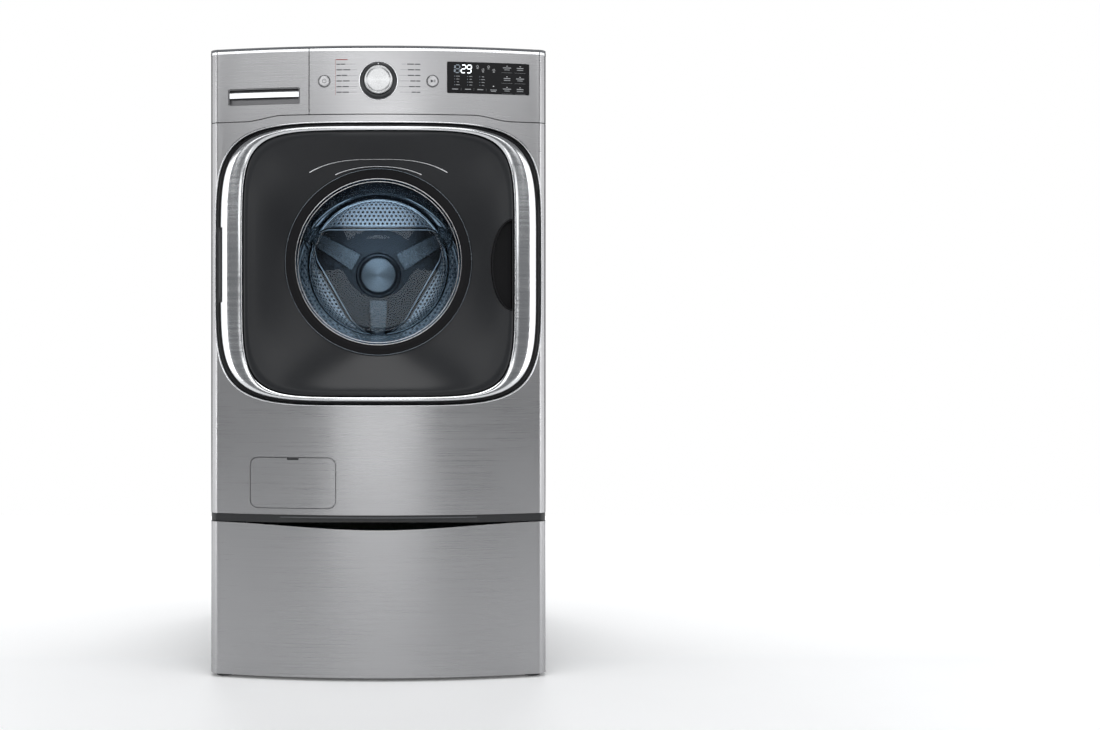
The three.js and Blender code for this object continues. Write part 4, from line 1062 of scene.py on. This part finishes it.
def add_wash_unit():
    for node, name, body, look, slot, bevel in (
            ("tub_front", "tub_front_shell", "wash_unit", WHITE, "pale_plastic", 0.0015),
            ("tub_back", "tub_back_shell", "wash_unit", WHITE, "pale_plastic", 0.0015),
            ("counterweight_front", "front_weight", "wash_unit", CONCRETE, "concrete", 0.003),
            ("counterweight_top", "top_weight", "wash_unit", CONCRETE, "concrete", 0.004),
            ("motor_stator", "stator_ring", "wash_unit", ZINC, "galvanised", 0.0015),
            ("damper_body_left", "damper_tube_left", "cabinet", BLACK, "dark_plastic", 0.001),
            ("damper_body_right", "damper_tube_right", "cabinet", BLACK, "dark_plastic", 0.001),
            ("damper_rod_left", "damper_stem_left", "wash_unit", MACHINED, "drum_steel", 0.001),
            ("damper_rod_right", "damper_stem_right", "wash_unit", MACHINED, "drum_steel", 0.001),
            ("drain_pump", "pump_housing", "cabinet", BLACK, "dark_plastic", 0.0012),
            ("pump_filter", "filter_plug", "filter", WHITE, "pale_plastic", 0.0012),
            ("door_surround", "door_backing", "cabinet", GRAPHITE, "cabinet_paint", 0.0),
            ("door_hinge_bracket", "hinge_leaf", "cabinet", BLACK, "dark_plastic", 0.0006),
            ("door_lock", "lock_housing", "cabinet", BLACK, "dark_plastic", 0.001),
            ("base_pan", "floor_pan", "cabinet", ZINC, "galvanised", 0.0006),
            ("top_brace", "roof_brace", "cabinet", ZINC, "galvanised", 0.0005)):
        set_in(dressed_copy(node, name, bevel, 2, 40), body, look, slot, node)
    for node, look in (("bearing_front", MACHINED), ("bearing_back", MACHINED), ("control_board", BOARD),
                       ("drawer_channel_left", ZINC), ("drawer_channel_right", ZINC)):
        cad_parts[node].data.materials.clear()
        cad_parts[node].data.materials.append(look)


def add_springs():
    """Each spring stretches between its hook under the roof and the tub."""
    for side in ("left", "right"):
        spring = dressed_copy(f"hang_spring_{side}", f"tub_spring_{side}", 0.0, 1)
        smooth(spring, 50)
        spring.data.materials.clear()
        spring.data.materials.append(MACHINED)
        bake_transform(spring)
        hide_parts(f"hang_spring_{side}")


# ---------- sides, top and back ----------
def add_shell():
    for side in ("left", "right"):
        panel = dressed_copy(f"side_panel_{side}", f"side_sheet_{side}", 0.0004, 2)
        set_in(panel, "cabinet", GRAPHITE, "cabinet_paint", f"side_panel_{side}")
    top = dressed_copy("top_plate", "worktop", 0.0012, 3)
    set_in(top, "cabinet", GRAPHITE, "cabinet_paint", "top_plate", crease=True)
    back = dressed_copy("back_panel", "rear_sheet", 0.0006, 2)
    set_in(back, "cabinet", ZINC, "galvanised", "back_panel")
    valve = dressed_copy("inlet_valve", "valve_block", 0.0008, 2)
    set_in(valve, "cabinet", WHITE, "pale_plastic", "inlet_valve")


def add_back_details():
    cap = spun("motor_cover_cap",
               rounded([(0, 0.3960), (0, 0.3982), (0.0600, 0.3982), (0.0640, 0.3968),
                        (0.0700, 0.3968), (0.0740, 0.3982), (0.1200, 0.3982), (0.1240, 0.3968),
                        (0.1300, 0.3968), (0.1340, 0.3982), (0.1820, 0.3982), (0.1895, 0.3972),
                        (0.1912, 0.3950), (0.1912, 0.3862), (0.1990, 0.3862), (0.1990, 0.3852),
                        (0.1904, 0.3852), (0.1904, 0.3960)], 0.0010, 3), steps=128)
    set_in(cap, "cabinet", GRAPHITE, "cabinet_paint", angle=50)
    places = [(0.1955 * math.sin(math.radians(a)), 0.0008, AXIS_Z + 0.1955 * math.cos(math.radians(a)))
              for a in range(22, 360, 45)]
    places += [(side * 0.352, 0, z) for side in (-1, 1) for z in (0.43, 0.63, 0.83, 1.03, 1.23)]
    places += [(x, 0, z) for x in (-0.24, 0, 0.24) for z in (0.392, 1.335)]
    first = spun("screw", rounded([(0, 0.3850), (0.0048, 0.3850), (0.0046, 0.3864), (0.0030, 0.3880), (0.0012, 0.3884),
                                   (0.0010, 0.3874), (0, 0.3874)], 0.0004, 3), z=0, steps=24)
    screws = [copied(first, "screw", where) for where in places]
    bpy.data.objects.remove(first)
    set_in(joined("back_screws", screws), "cabinet", MACHINED, "drum_steel", angle=40)
    slots, beads = [], []
    for side in (-1, 1):
        for row in range(7):
            z = 0.500 + 0.016 * row
            slots.append(block("vent", side * VENT_X - 0.035, side * VENT_X + 0.035, 0.3840, 0.3853,
                               z - 0.0028, z + 0.0028))
            beads.append(bevelled(block("hood", side * VENT_X - 0.038, side * VENT_X + 0.038, 0.3840, 0.3878,
                                        z + 0.0026, z + 0.0062), 0.0012, 3))
        beads.append(bevelled(block("bead", side * 0.285 - 0.008, side * 0.285 + 0.008, 0.3838, 0.3872, 0.68, 1.13),
                              0.0026, 4))
    beads.append(bevelled(block("bead", -0.17, 0.17, 0.3838, 0.3872, 0.432, 0.448), 0.0026, 4))
    set_in(joined("back_vents", slots), "cabinet", BLACK, "dark_plastic")
    set_in(joined("back_beads", beads), "cabinet", ZINC, "galvanised", angle=40)
    for name, x, look in (("hot_port_ring", 0.184, HOT), ("cold_port_ring", 0.216, COLD)):
        ring = spun(name, rounded([(0.0125, 0.3855), (0.0154, 0.3855), (0.0154, 0.3885), (0.0125, 0.3885)], 0.0006, 3),
                    x=x, z=1.290, steps=64)
        set_in(ring, "cabinet", look, "dark_plastic", angle=50)


add_camera()
add_studio()
add_front_panel()
add_hatch()
add_collar()
add_pedestal()
add_feet()
add_door_ring()
add_door_dish()
add_dish_highlight_arcs()
add_door_glass()
add_control_panel()
add_dispenser()
add_dial()
add_buttons()
add_display()
add_programme_marks()
add_drum()
add_gasket()
add_wash_unit()
add_springs()
add_shell()
add_back_details()

bpy.context.view_layer.update()
